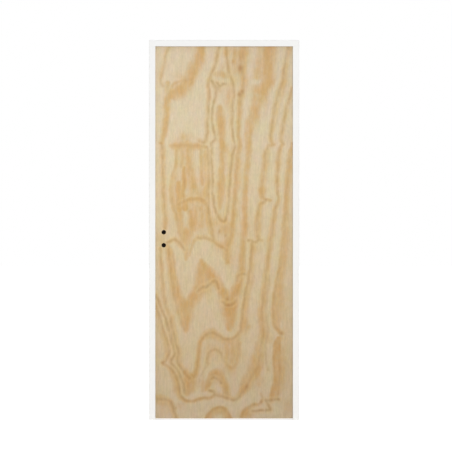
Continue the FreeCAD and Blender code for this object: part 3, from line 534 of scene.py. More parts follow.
def painted_wood(paint):
    """Satin acrylic paint rolled on planed pine: even white, with a faint stipple left by the roller."""
    material, tree = new_material("satin_paint_rolled_on_pine")
    place = add(tree, "ShaderNodeTexCoord").outputs["Object"]
    # Roller stipple is about 2 mm across. It is drawn at 4 mm, so that it still shows.
    stipple = add(tree, "ShaderNodeTexNoise", {
        "Vector": place, "Scale": 1 / (4 * MM), "Detail": 3.0}).outputs[0]
    # Slow unevenness of the coat, about a hand's width.
    coat = add(tree, "ShaderNodeTexNoise", {
        "Vector": place, "Scale": 1 / (120 * MM), "Detail": 2.0}).outputs[0]
    shade = add(tree, "ShaderNodeMapRange", {VALUE: coat, **NOISE_RANGE, TO_LOW: 0.985, TO_HIGH: 1.0})
    colour = add(tree, "ShaderNodeMix", {
        SHARE: 1.0, FIRST: opaque(paint.colour), SECOND: shade.outputs[0]},
        data_type="RGBA", blend_type="MULTIPLY")
    gloss = add(tree, "ShaderNodeMapRange", {
        VALUE: stipple, **NOISE_RANGE, TO_LOW: paint.roughness - 0.05, TO_HIGH: paint.roughness + 0.08})
    relief = add(tree, "ShaderNodeBump", {"Height": stipple, "Strength": 0.12, "Distance": 0.2 * MM})
    shader = add(tree, "ShaderNodeBsdfPrincipled", {
        "Base Color": colour.outputs[MIXED], "Roughness": gloss.outputs[0], "IOR": 1.5,
        "Normal": relief.outputs[0]})
    add(tree, "ShaderNodeOutputMaterial", {"Surface": shader.outputs[0]})
    return material


def pine_veneer(veneer):
    """Rotary-cut pine veneer, sanded: tan latewood on pale earlywood, thin ring lines, fine fibres."""
    material, tree = new_material("rotary_cut_pine_veneer_sanded")
    place = add(tree, "ShaderNodeTexCoord").outputs["Object"]
    late, line, flank, knot = (
        add(tree, "ShaderNodeAttribute", attribute_name=name).outputs["Fac"]
        for name in ("latewood", "ring_line", "ring_flank", "knot"))

    # Noise drawn out along the grain, from the width and length of one streak in millimetres. Pine fibres
    # are well under 1 mm wide and are drawn far coarser, so that they show. Broader streaks let a band come
    # and go along the grain, flecks break it up, and faint clouds tint the earlywood, which is never bare.
    streaks = {
        "fibre": (5, 60, 4.0), "streak": (15, 110, 3.0), "fleck": (9, 16, 2.0), "cloud": (28, 45, 3.0),
        "drift": (45, 90, 2.0)}
    noise = {}
    for name, (width, length, detail) in streaks.items():
        along = add(tree, "ShaderNodeMapping", {
            "Vector": place, "Scale": (1 / (width * MM), 1 / (width * MM), 1 / (length * MM))})
        noise[name] = add(tree, "ShaderNodeTexNoise", {
            "Vector": along.outputs[0], "Scale": 1.0, "Detail": detail}).outputs[0]
    # What each noise is spread over: shares of latewood, of a ring line, of a tint and of lightness.
    spreads = {
        "streak_tear": ("streak", 0.86, 1.1), "fibre_tear": ("fibre", 0.95, 1.05),
        "cloud_tint": ("cloud", -0.03, 0.29), "fleck_tint": ("fleck", -0.03, 0.05),
        "line_gaps": ("cloud", 0.4, 1.15), "drift_turn": ("drift", 0.0, 1.0),
        "fibre_shade": ("fibre", 0.94, 1.06), "fleck_shade": ("fleck", 0.95, 1.05)}
    spread = {
        name: add(tree, "ShaderNodeMapRange", {
            VALUE: noise[source], **NOISE_RANGE, TO_LOW: low, TO_HIGH: high}).outputs[0]
        for name, (source, low, high) in spreads.items()}

    tear = add(tree, "ShaderNodeMath", {
        0: spread["streak_tear"], 1: spread["fibre_tear"]}, operation="MULTIPLY")
    torn = add(tree, "ShaderNodeMath", {0: late, 1: tear.outputs[0]}, operation="MULTIPLY")
    tint = add(tree, "ShaderNodeMath", {0: spread["cloud_tint"], 1: spread["fleck_tint"]}, operation="ADD")
    # Earlywood far from any ring is cleaner.
    near_ring = add(tree, "ShaderNodeMapRange", {
        VALUE: late, FROM_LOW: 0.0, FROM_HIGH: 0.25, TO_LOW: 0.5, TO_HIGH: 1.0})
    mottle = add(tree, "ShaderNodeMath", {
        0: tint.outputs[0], 1: near_ring.outputs[0]}, operation="MULTIPLY")
    mixed = add(tree, "ShaderNodeMath", {
        0: torn.outputs[0], 1: mottle.outputs[0]}, operation="ADD", use_clamp=True)
    # Latewood is paler in the upper half of the sheet, so its share stops at a lower ceiling there.
    spot = add(tree, "ShaderNodeSeparateXYZ", {"Vector": place}).outputs
    ceiling = add(tree, "ShaderNodeMapRange", {
        VALUE: spot["Z"], FROM_LOW: 700 * MM, FROM_HIGH: 1100 * MM, TO_LOW: 1.05, TO_HIGH: 0.86})
    band = add(tree, "ShaderNodeMath", {
        0: mixed.outputs[0], 1: ceiling.outputs[0], 2: 0.2}, operation="SMOOTH_MIN").outputs[0]
    broken_line = add(tree, "ShaderNodeMath", {0: line, 1: spread["line_gaps"]}, operation="MULTIPLY")
    wood = opaque(veneer.earlywood)
    for share, colour in (
            (band, veneer.latewood), (flank, veneer.ring_flank), (broken_line.outputs[0], veneer.ring_line),
            (knot, veneer.knot)):
        wood = add(tree, "ShaderNodeMix", {
            SHARE: share, FIRST: wood, SECOND: opaque(colour)}, data_type="RGBA").outputs[MIXED]

    # The colour drifts between rose and olive over a hand's width.
    rose, olive = (1.015, 0.98, 1.03), (0.98, 1.01, 0.945)
    drift = add(tree, "ShaderNodeMix", {
        SHARE: spread["drift_turn"], FIRST: opaque(rose), SECOND: opaque(olive)}, data_type="RGBA")
    # The sheet darkens and warms towards the foot, and darkens a little towards the hinge edge.
    height = add(tree, "ShaderNodeMapRange", {VALUE: spot["Z"], FROM_LOW: 0.0, FROM_HIGH: 2000 * MM})
    fall = add(tree, "ShaderNodeValToRGB", {"Fac": height.outputs[0]})
    stops = (
        (0.05, (0.765, 0.73, 0.675)), (0.14, (0.80, 0.75, 0.65)), (0.24, (0.855, 0.81, 0.715)),
        (0.35, (0.905, 0.865, 0.77)), (0.5, (0.96, 0.935, 0.84)), (0.65, (1.01, 0.995, 0.92)),
        (0.8, (1.015, 1.025, 0.99)), (0.96, (0.99, 0.985, 0.97)))
    ramp = fall.color_ramp
    while len(ramp.elements) < len(stops):
        ramp.elements.new(0.5)
    for element, (position, share) in zip(ramp.elements, stops):
        element.position = position
        element.color = opaque(share)
    across = add(tree, "ShaderNodeMapRange", {
        VALUE: spot["X"], FROM_LOW: -780 * MM, FROM_HIGH: -30 * MM, TO_LOW: 1.035, TO_HIGH: 0.955})
    grain = add(tree, "ShaderNodeMath", {
        0: spread["fibre_shade"], 1: spread["fleck_shade"]}, operation="MULTIPLY")
    shade = add(tree, "ShaderNodeMath", {0: across.outputs[0], 1: grain.outputs[0]}, operation="MULTIPLY")
    for layer in (drift.outputs[MIXED], fall.outputs[0], shade.outputs[0]):
        wood = add(tree, "ShaderNodeMix", {
            SHARE: 1.0, FIRST: wood, SECOND: layer}, data_type="RGBA", blend_type="MULTIPLY").outputs[MIXED]
    gloss = add(tree, "ShaderNodeMapRange", {
        VALUE: band, FROM_LOW: 0.0, FROM_HIGH: 1.0, TO_LOW: 0.68, TO_HIGH: 0.56})
    relief = add(tree, "ShaderNodeBump", {"Height": noise["fibre"], "Strength": 0.1, "Distance": 0.15 * MM})
    shader = add(tree, "ShaderNodeBsdfPrincipled", {
        "Base Color": wood, "Roughness": gloss.outputs[0], "IOR": 1.5, "Normal": relief.outputs[0]})
    add(tree, "ShaderNodeOutputMaterial", {"Surface": shader.outputs[0]})
    return material


def painted_bore_shade(veneer):
    """Painted shade for the bores: dark brown, matt, with a grain of about 1 mm. It goes on the bore walls
    and on a rim round each bore, in place of the shade inside the holes.
    """
    material, tree = new_material("painted_shade_in_the_bores")
    place = add(tree, "ShaderNodeTexCoord").outputs["Object"]
    shade_grain = add(tree, "ShaderNodeTexNoise", {"Vector": place, "Scale": 1 / (1 * MM), "Detail": 3.0})
    lighter = tuple(share * 1.6 for share in veneer.bore_shade_colour)
    colour = add(tree, "ShaderNodeMix", {
        SHARE: shade_grain.outputs[0], FIRST: opaque(veneer.bore_shade_colour), SECOND: opaque(lighter)}, data_type="RGBA")
    shader = add(tree, "ShaderNodeBsdfPrincipled", {
        "Base Color": colour.outputs[MIXED], "Roughness": 0.85, "IOR": 1.5, "Specular IOR Level": 0.2})
    add(tree, "ShaderNodeOutputMaterial", {"Surface": shader.outputs[0]})
    return material


def plywood_edge(veneer):
    """Sawn poplar plywood: dark and pale plies by turns, each about 1.2 mm thick, with a fuzzy cut."""
    material, tree = new_material("poplar_plywood_sawn_edge")
    place = add(tree, "ShaderNodeTexCoord").outputs["Object"]
    # It is 2.4 mm from one dark ply to the next, and a wave of bands repeats after pi / (10 * scale).
    plies = add(tree, "ShaderNodeTexWave", {
        "Vector": place, "Scale": math.pi / (10 * 2.4 * MM), "Distortion": 0.6,
        "Detail": 2.0, "Detail Scale": 3.0}, wave_type="BANDS", bands_direction="Y")
    fuzz = add(tree, "ShaderNodeTexNoise", {
        "Vector": place, "Scale": 1 / (1.5 * MM), "Detail": 4.0}).outputs[0]
    dark = tuple(share * 0.72 for share in veneer.ply_edge)
    colour = add(tree, "ShaderNodeMix", {
        SHARE: plies.outputs["Fac"], FIRST: opaque(dark), SECOND: opaque(veneer.ply_edge)},
        data_type="RGBA")
    rough = add(tree, "ShaderNodeMapRange", {VALUE: fuzz, **NOISE_RANGE, TO_LOW: 0.7, TO_HIGH: 0.9})
    relief = add(tree, "ShaderNodeBump", {"Height": fuzz, "Strength": 0.3, "Distance": 0.2 * MM})
    shader = add(tree, "ShaderNodeBsdfPrincipled", {
        "Base Color": colour.outputs[MIXED], "Roughness": rough.outputs[0], "IOR": 1.5,
        "Normal": relief.outputs[0]})
    add(tree, "ShaderNodeOutputMaterial", {"Surface": shader.outputs[0]})
    return material


def planed_softwood(name, grain_along):
    """Planed spruce: straight rings about 4 mm apart, pale between and honey brown at the ring."""
    material, tree = new_material(name)
    place = add(tree, "ShaderNodeTexCoord").outputs["Object"]
    stretch = {"X": (0.04, 1.0, 1.0), "Z": (1.0, 1.0, 0.04)}[grain_along]
    grain = add(tree, "ShaderNodeMapping", {"Vector": place, "Scale": stretch}).outputs[0]
    # A wave of slanting bands repeats after pi / (5 * scale).
    rings = add(tree, "ShaderNodeTexWave", {
        "Vector": grain, "Scale": math.pi / (5 * 4 * MM), "Distortion": 6.0, "Detail": 3.0,
        "Detail Scale": 1.2}, wave_type="BANDS", bands_direction="DIAGONAL", wave_profile="SAW")
    fibre = add(tree, "ShaderNodeTexNoise", {
        "Vector": grain, "Scale": 1 / (1.2 * MM), "Detail": 4.0}).outputs[0]
    ring = add(tree, "ShaderNodeMapRange", {VALUE: rings.outputs["Fac"], FROM_LOW: 0.45, FROM_HIGH: 1.0})
    pale, honey = linear("#E2CBA0"), linear("#C79B62")
    colour = add(tree, "ShaderNodeMix", {
        SHARE: ring.outputs[0], FIRST: opaque(pale), SECOND: opaque(honey)}, data_type="RGBA")
    rough = add(tree, "ShaderNodeMapRange", {VALUE: fibre, **NOISE_RANGE, TO_LOW: 0.6, TO_HIGH: 0.78})
    relief = add(tree, "ShaderNodeBump", {"Height": fibre, "Strength": 0.2, "Distance": 0.2 * MM})
    shader = add(tree, "ShaderNodeBsdfPrincipled", {
        "Base Color": colour.outputs[MIXED], "Roughness": rough.outputs[0], "IOR": 1.5,
        "Normal": relief.outputs[0]})
    add(tree, "ShaderNodeOutputMaterial", {"Surface": shader.outputs[0]})
    return material


def kraft_paper():
    """Expanded kraft paper: matt brown board with short pulp fibres about 3 mm long."""
    material, tree = new_material("kraft_paper_expanded")
    place = add(tree, "ShaderNodeTexCoord").outputs["Object"]
    pulp = add(tree, "ShaderNodeTexNoise", {
        "Vector": place, "Scale": 1 / (3 * MM), "Detail": 5.0}).outputs[0]
    brown, straw = linear("#A5825A"), linear("#BE9C70")
    colour = add(tree, "ShaderNodeMix", {
        SHARE: pulp, FIRST: opaque(brown), SECOND: opaque(straw)}, data_type="RGBA")
    relief = add(tree, "ShaderNodeBump", {"Height": pulp, "Strength": 0.3, "Distance": 0.1 * MM})
    shader = add(tree, "ShaderNodeBsdfPrincipled", {
        "Base Color": colour.outputs[MIXED], "Roughness": 0.9, "IOR": 1.5, "Normal": relief.outputs[0]})
    add(tree, "ShaderNodeOutputMaterial", {"Surface": shader.outputs[0]})
    return material


def lacquered_steel(hardware):
    """Pressed steel dipped in black lacquer: deep and fairly dull, with a slight orange peel of 2 mm."""
    material, tree = new_material("black_lacquered_pressed_steel")
    place = add(tree, "ShaderNodeTexCoord").outputs["Object"]
    peel = add(tree, "ShaderNodeTexNoise", {
        "Vector": place, "Scale": 1 / (2 * MM), "Detail": 2.0}).outputs[0]
    dust = tuple(share * 1.5 for share in hardware.lacquer)
    colour = add(tree, "ShaderNodeMix", {
        SHARE: peel, FIRST: opaque(hardware.lacquer), SECOND: opaque(dust)}, data_type="RGBA")
    rough = add(tree, "ShaderNodeMapRange", {VALUE: peel, **NOISE_RANGE, TO_LOW: 0.6, TO_HIGH: 0.75})
    relief = add(tree, "ShaderNodeBump", {"Height": peel, "Strength": 0.15, "Distance": 0.1 * MM})
    shader = add(tree, "ShaderNodeBsdfPrincipled", {
        "Base Color": colour.outputs[MIXED], "Roughness": rough.outputs[0], "IOR": 1.5,
        "Specular IOR Level": 0.1, "Normal": relief.outputs[0]})
    add(tree, "ShaderNodeOutputMaterial", {"Surface": shader.outputs[0]})
    return material


def plated_steel(name, tint, brush_along):
    """Plated steel with fine brush lines one way, which spread its highlights across them."""
    material, tree = new_material(name)
    place = add(tree, "ShaderNodeTexCoord").outputs["Object"]
    stretch = {"X": (0.03, 1.0, 1.0), "Z": (1.0, 1.0, 0.03)}[brush_along]
    lines = add(tree, "ShaderNodeMapping", {"Vector": place, "Scale": stretch})
    # Brush lines are about 0.1 mm apart. They are drawn at 0.5 mm, so that they show close by.
    brush = add(tree, "ShaderNodeTexNoise", {
        "Vector": lines.outputs[0], "Scale": 1 / (0.5 * MM), "Detail": 3.0}).outputs[0]
    bloom = add(tree, "ShaderNodeTexNoise", {"Vector": place, "Scale": 1 / (15 * MM), "Detail": 4.0})
    worn = tuple(share * 0.82 for share in tint)
    colour = add(tree, "ShaderNodeMix", {
        SHARE: bloom.outputs[0], FIRST: opaque(worn), SECOND: opaque(tint)}, data_type="RGBA")
    rough = add(tree, "ShaderNodeMapRange", {VALUE: brush, **NOISE_RANGE, TO_LOW: 0.28, TO_HIGH: 0.42})
    relief = add(tree, "ShaderNodeBump", {"Height": brush, "Strength": 0.08, "Distance": 0.05 * MM})
    shader = add(tree, "ShaderNodeBsdfPrincipled", {
        "Base Color": colour.outputs[MIXED], "Metallic": 1.0, "Roughness": rough.outputs[0],
        "Normal": relief.outputs[0]})
    add(tree, "ShaderNodeOutputMaterial", {"Surface": shader.outputs[0]})
    return material


def dress(material, *nodes):
    """Gives CAD nodes their finished material."""
    for name in nodes:
        slots = frame["nodes"][name].data.materials
        slots.clear()
        slots.append(material)


def new_piece(name, mesh, body):
    """Puts a finished mesh in the scene on its body."""
    piece = bpy.data.objects.new(name, mesh)
    bpy.context.scene.collection.objects.link(piece)
    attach(piece, body)
    return piece


def smooth_step(low, high, value):
    """0 below low, 1 above high and an S-shaped rise between."""
    share = np.clip((value - low) / (high - low), 0, 1)
    return share * share * (3 - 2 * share)


def smooth_path(points, widths):
    """Close samples of the smooth curve through a band's points, as x, y, left width and right width."""
    rows = np.array([point if len(point) == 4 else (*point, *widths) for point in points], float)
    ends = np.vstack((2 * rows[0] - rows[1], rows, 2 * rows[-1] - rows[-2]))
    samples = []
    for before, start, end, after in zip(ends, ends[1:], ends[2:], ends[3:]):
        steps = max(2, math.ceil(np.hypot(*(end - start)[:2]) / PATH_STEP))
        for share in np.arange(steps) / steps:
            samples.append(0.5 * (
                2 * start + (end - before) * share + (2 * before - 5 * start + 4 * end - after) * share ** 2
                + (3 * start - before - 3 * end + after) * share ** 3))
    samples.append(rows[-1])
    made = np.array(samples)
    made[:, 2:] = np.maximum(made[:, 2:], LEAST_WIDTH)
    return made


def reach_of(path, x, y):
    """How far each place lies from a path, and the fade width on its side of the path."""
    distance = np.full(x.shape, np.inf)
    width = np.ones(x.shape)
    along = np.gradient(path[:, :2], axis=0)
    along /= np.linalg.norm(along, axis=1)[:, None]
    # Places are looked up near one short run of the path at a time.
    margin = path[:, 2:].max() * MARGIN_PER_WIDTH + LEAST_MARGIN
    run = 30
    for first in range(0, len(path), run):
        part = path[first:first + run]
        (low_x, low_y), (high_x, high_y) = part[:, :2].min(0) - margin, part[:, :2].max(0) + margin
        near = np.flatnonzero((x > low_x) & (x < high_x) & (y > low_y) & (y < high_y))
        if not len(near):
            continue
        away_x = x[near, None] - part[:, 0]
        away_y = y[near, None] - part[:, 1]
        squared = away_x ** 2 + away_y ** 2
        nearest = squared.argmin(1)
        row = np.arange(len(near))
        gap = np.sqrt(squared[row, nearest])
        heading = along[first + nearest]
        left = away_y[row, nearest] * heading[:, 0] - away_x[row, nearest] * heading[:, 1] > 0
        closer = gap < distance[near]
        chosen = near[closer]
        distance[chosen] = gap[closer]
        width[chosen] = np.where(left, part[nearest, 2], part[nearest, 3])[closer]
    return distance, width


def spot_at(across, down, middle_x, middle_y, half_x, half_y):
    """A soft spot: 1 in its middle, and fading out past its half-width and half-height."""
    return np.exp(-((across - middle_x) / half_x) ** 2 - ((down - middle_y) / half_y) ** 2)


def figure_at(x, z, veneer):
    """The strengths of latewood, ring line, clear flank and knot at places on the leaf's face."""
    corner_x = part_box("lock_stop")[1].x
    corner_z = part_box("head_stop")[0].z
    across = FIGURE_CORNER[0] + (x - corner_x) / veneer.pixel
    down = FIGURE_CORNER[1] + (corner_z - z) / veneer.pixel
    # A small wander, so that no ring is smoother than one that grew.
    wander_x = across + 0.12 * np.sin(0.9 * down + 1.7 * np.sin(0.23 * across)) + 0.2 * np.sin(0.37 * down)
    wander_y = down + 0.2 * np.sin(0.8 * across + 1.1 * np.sin(0.19 * down))
    late, line, flank, knot = (np.zeros(x.shape) for part in range(4))
    for strength, ring, widths, points in BANDS:
        distance, width = reach_of(smooth_path(points, widths), wander_x, wander_y)
        reach = REACH_PER_WIDTH * width + LEAST_REACH
        fade = smooth_step(FADE_START * reach, FADE_END * reach, distance)
        late = np.maximum(late, BAND_PEAK * strength * (1 - fade))
        line = np.maximum(line, ring * np.exp(-(distance / LINE_HALF_WIDTH) ** 2))
        beside = np.exp(-((distance - FLANK_OFFSET) / FLANK_HALF_WIDTH) ** 2)
        flank = np.maximum(flank, FLANK_PEAK * ring * beside)
    for *place, strength in CLOUDS:
        late += strength * spot_at(across, down, *place)
    for *place, strength in KNOTS:
        knot = np.maximum(knot, strength * spot_at(across, down, *place))
    return {
        "latewood": np.clip(late, 0, LATEWOOD_LIMIT), "ring_line": line, "ring_flank": flank, "knot": knot}


def even_lines(low, high, step, fixed=()):
    """Evenly spaced positions from low to high that keep to the fixed ones."""
    ends = sorted({low, high, *fixed})
    lines = []
    for start, end in zip(ends, ends[1:]):
        count = max(1, round((end - start) / step))
        lines.extend(start + (end - start) * i / count for i in range(count))
    return np.array(lines + [high])


def fill_between(points, edges, bores):
    """Triangles inside an outline of (x, z) points, with the bores left open."""
    inside_only, tolerance = 1, 1e-7
    found = delaunay_2d_cdt([Vector(point) for point in points], edges, [], inside_only, tolerance)
    corners, triangles, sources = found[0], found[2], found[3]
    kept = []
    for triangle in triangles:
        middle = sum((corners[i] for i in triangle), Vector((0, 0))) / len(triangle)
        if all((middle - centre).length > radius for centre, radius in bores):
            kept.append([sources[i][0] for i in triangle])
    return kept


def face_grid(xs, zs, bores, notches):
    """Points and faces of a flat sheet on grid lines, with round bores and edge notches left out."""
    points = [(x, z) for z in zs for x in xs]
    columns = len(xs)
    faces = []
    margin = 2 * (xs[1] - xs[0])
    left, right = (np.searchsorted(xs, bores[0][0].x + side * (bores[0][1] + margin)) for side in (-1, 1))
    heights = sorted(centre.y for centre, radius in bores)
    low = np.searchsorted(zs, heights[0] - bores[0][1] - margin)
    high = np.searchsorted(zs, heights[-1] + bores[0][1] + margin)
    for j in range(len(zs) - 1):
        for i in range(columns - 1):
            in_window = left <= i < right and low <= j < high
            middle_x, middle_z = (xs[i] + xs[i + 1]) / 2, (zs[j] + zs[j + 1]) / 2
            in_notch = any(x0 < middle_x < x1 and z0 < middle_z < z1 for x0, x1, z0, z1 in notches)
            if not in_window and not in_notch:
                first = j * columns + i
                faces.append((first, first + 1, first + columns + 1, first + columns))
    # A window round the bores is left out of the grid. Triangles join its edge to the rims of the bores.
    ring = [low * columns + i for i in range(left, right)]
    ring += [j * columns + right for j in range(low, high)]
    ring += [high * columns + i for i in range(right, left, -1)]
    ring += [j * columns + left for j in range(high, low, -1)]
    clearance = 1.5 * MM
    window = [j * columns + i for j in range(low + 1, high) for i in range(left + 1, right)]
    inside = [
        i for i in window
        if all((Vector(points[i]) - centre).length > radius + clearance for centre, radius in bores)]
    local = ring + inside
    edges = [(i, (i + 1) % len(ring)) for i in range(len(ring))]
    bore_sides = 48
    for centre, radius in bores:
        first = len(local)
        for step in range(bore_sides):
            angle = 2 * math.pi * step / bore_sides
            points.append((centre.x + radius * math.cos(angle), centre.y + radius * math.sin(angle)))
            local.append(len(points) - 1)
            edges.append((first + step, first + (step + 1) % bore_sides))
    patch = fill_between([points[i] for i in local], edges, bores)
    faces.extend([local[i] for i in triangle] for triangle in patch)
    return points, faces


# Material slots of a skin, after its face's own: the cut edge, then the painted shade of the bores.
CUT_EDGE, BORE_SHADE = 1, 2


def skin_mesh(name, node, face_y, bores, notches, veneer):
    """A veneered skin: a close grid that carries the figure, eased edges, bore walls and a glued back."""
    low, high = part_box(node)
    back_y = high.y if face_y < (low.y + high.y) / 2 else low.y
    inward = math.copysign(1, back_y - face_y)
    ease = veneer.ease
    sides_x = (low.x + ease, high.x - ease)
    sides_z = (low.z + ease, high.z - ease)
    fixed_x = [x0 for x0, x1, z0, z1 in notches[:1]]
    fixed_z = [z for x0, x1, z0, z1 in notches for z in (z0, z1)]
    xs = even_lines(*sides_x, veneer.grid, fixed_x)
    zs = even_lines(*sides_z, veneer.grid, fixed_z)
    # Each bore's opening in the face is widened by the rim of painted shade.
    eased_bores = [(centre, radius + veneer.shaded_bore_rim) for centre, radius in bores]
    points, faces = face_grid(xs, zs, eased_bores, notches)

    sheet = bmesh.new()
    made = [sheet.verts.new((x, face_y, z)) for x, z in points]
    for face in faces:
        sheet.faces.new([made[i] for i in face])
    for vert in [v for v in sheet.verts if not v.link_faces]:
        sheet.verts.remove(vert)

    def bore_at(x, z):
        """The bore whose rim a point is on, if any."""
        for centre, radius in bores:
            if (Vector((x, z)) - centre).length < radius + 2 * veneer.shaded_bore_rim:
                return centre, radius

    def outline_of(x, z):
        """The place of a rim point before its edge was eased."""
        bore = bore_at(x, z)
        if bore:
            centre, radius = bore
            return tuple(centre + (Vector((x, z)) - centre).normalized() * radius)
        tiny = 1e-6
        x = low.x if x <= sides_x[0] + tiny else high.x if x >= sides_x[1] - tiny else x
        z = low.z if z <= sides_z[0] + tiny else high.z if z >= sides_z[1] - tiny else z
        return x, z

    rim_edges = [edge for edge in sheet.edges if edge.is_boundary]
    rim = list(dict.fromkeys(vert for edge in rim_edges for vert in edge.verts))
    outlines = {vert: outline_of(vert.co.x, vert.co.z) for vert in rim}
    shoulder = {v: sheet.verts.new((x, face_y + inward * ease, z)) for v, (x, z) in outlines.items()}
    foot = {v: sheet.verts.new((x, back_y, z)) for v, (x, z) in outlines.items()}
    cut_faces = []
    for edge in rim_edges:
        a, b = edge.verts
        eased = sheet.faces.new((a, b, shoulder[b], shoulder[a]))
        wall = sheet.faces.new((shoulder[a], shoulder[b], foot[b], foot[a]))
        # Bore walls and their eased rims get the painted shade of the bores.
        if bore_at(a.co.x, a.co.z):
            eased.material_index = wall.material_index = BORE_SHADE
        else:
            cut_faces.append(wall)
    order = {vert: i for i, vert in enumerate(rim)}
    loops = [tuple(order[vert] for vert in edge.verts) for edge in rim_edges]
    back = fill_between([outlines[vert] for vert in rim], loops, bores)
    cut_faces.extend(sheet.faces.new([foot[rim[i]] for i in triangle]) for triangle in back)
    for face in cut_faces:
        face.material_index = CUT_EDGE
    bmesh.ops.recalc_face_normals(sheet, faces=sheet.faces)

    mesh = bpy.data.meshes.new(name)
    sheet.to_mesh(mesh)
    sheet.free()
    places = np.empty(len(mesh.vertices) * 3)
    mesh.vertices.foreach_get("co", places)
    for attribute, values in figure_at(places[0::3], places[2::3], veneer).items():
        made = mesh.attributes.new(attribute, "FLOAT", "POINT")
        made.data.foreach_set("value", values.astype(np.float32))
    return mesh


def lock_bores(side):
    """The handle and key bores on one face of the leaf, as middle and radius."""
    mounts = [m for m in frame["record"]["mounts"] if m["kind"] == "bore" and m["name"].endswith(side)]
    return [(Vector((m["pos_m"][0], m["pos_m"][2])), m["dims"]["r_mm"] * MM) for m in mounts]


def hinge_notches():
    """The places that the hinge plates take out of the back skin's edge, as x and z ranges."""
    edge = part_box("hinge_stile")[1].x
    plate = 2.5 * MM
    boxes = [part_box(f"{place}_hinge_leaf_half") for place in ("lower", "middle", "upper")]
    return [(edge - plate, edge, low.z, high.z) for low, high in boxes]


class DOOR_OT_painted_frame(bpy.types.Operator):
    """Paints the lining and its stops"""

    bl_idname = "door.painted_frame"
    bl_label = "Painted frame"

    def execute(self, context):
        paint = painted_wood(context.scene.door_paint)
        dress(paint, "hinge_jamb", "lock_jamb", "head_jamb", "hinge_stop", "lock_stop", "head_stop")
        return {"FINISHED"}


class DOOR_OT_veneer_faces(bpy.types.Operator):
    """Makes the two veneered skins of the leaf"""

    bl_idname = "door.veneer_faces"
    bl_label = "Veneer faces"

    def execute(self, context):
        veneer = context.scene.door_veneer
        finishes = pine_veneer(veneer), plywood_edge(veneer), painted_bore_shade(veneer)
        front_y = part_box("front_skin")[0].y
        back_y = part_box("back_skin")[1].y
        skins = (
            ("front_skin", front_y, lock_bores("front"), []),
            ("back_skin", back_y, lock_bores("back"), hinge_notches()),
        )
        for node, face_y, bores, notches in skins:
            mesh = skin_mesh(f"veneered_{node}", node, face_y, bores, notches, veneer)
            for finish in finishes:
                mesh.materials.append(finish)
            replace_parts(new_piece(f"veneered_{node}", mesh, "leaf"), node)
        return {"FINISHED"}


class DOOR_OT_softwood_frame(bpy.types.Operator):
    """Finishes the stiles, rails and lock block inside the leaf"""

    bl_idname = "door.softwood_frame"
    bl_label = "Softwood frame"

    def execute(self, context):
        dress(planed_softwood("planed_spruce_upright", "Z"), "hinge_stile", "lock_stile", "lock_block")
        dress(planed_softwood("planed_spruce_level", "X"), "top_rail", "bottom_rail")
        return {"FINISHED"}


class DOOR_OT_honeycomb_core(bpy.types.Operator):
    """Finishes the paper core"""

    bl_idname = "door.honeycomb_core"
    bl_label = "Honeycomb core"

    def execute(self, context):
        dress(kraft_paper(), "honeycomb_core")
        return {"FINISHED"}


class DOOR_OT_lock(bpy.types.Operator):
    """Finishes the lock and its strike plate"""

    bl_idname = "door.lock"
    bl_label = "Lock"

    def execute(self, context):
        hardware = context.scene.door_hardware
        dress(lacquered_steel(hardware), "lock_case", "spindle_follower")
        dress(plated_steel("zinc_plated_steel_brushed", hardware.zinc, "Z"), "lock_forend", "strike_plate")
        dress(plated_steel("nickel_plated_steel_ground", hardware.nickel, "X"), "latch_bolt", "dead_bolt")
        return {"FINISHED"}


class DOOR_OT_hinges(bpy.types.Operator):
    """Finishes the three lift-off hinges"""

    bl_idname = "door.hinges"
    bl_label = "Hinges"

    def execute(self, context):
        steel = plated_steel("zinc_plated_steel_rolled", context.scene.door_hardware.zinc, "Z")
        halves = ("hinge_frame_half", "hinge_leaf_half", "hinge_pin")
        dress(steel, *(f"{place}_{half}" for place in ("lower", "middle", "upper") for half in halves))
        return {"FINISHED"}


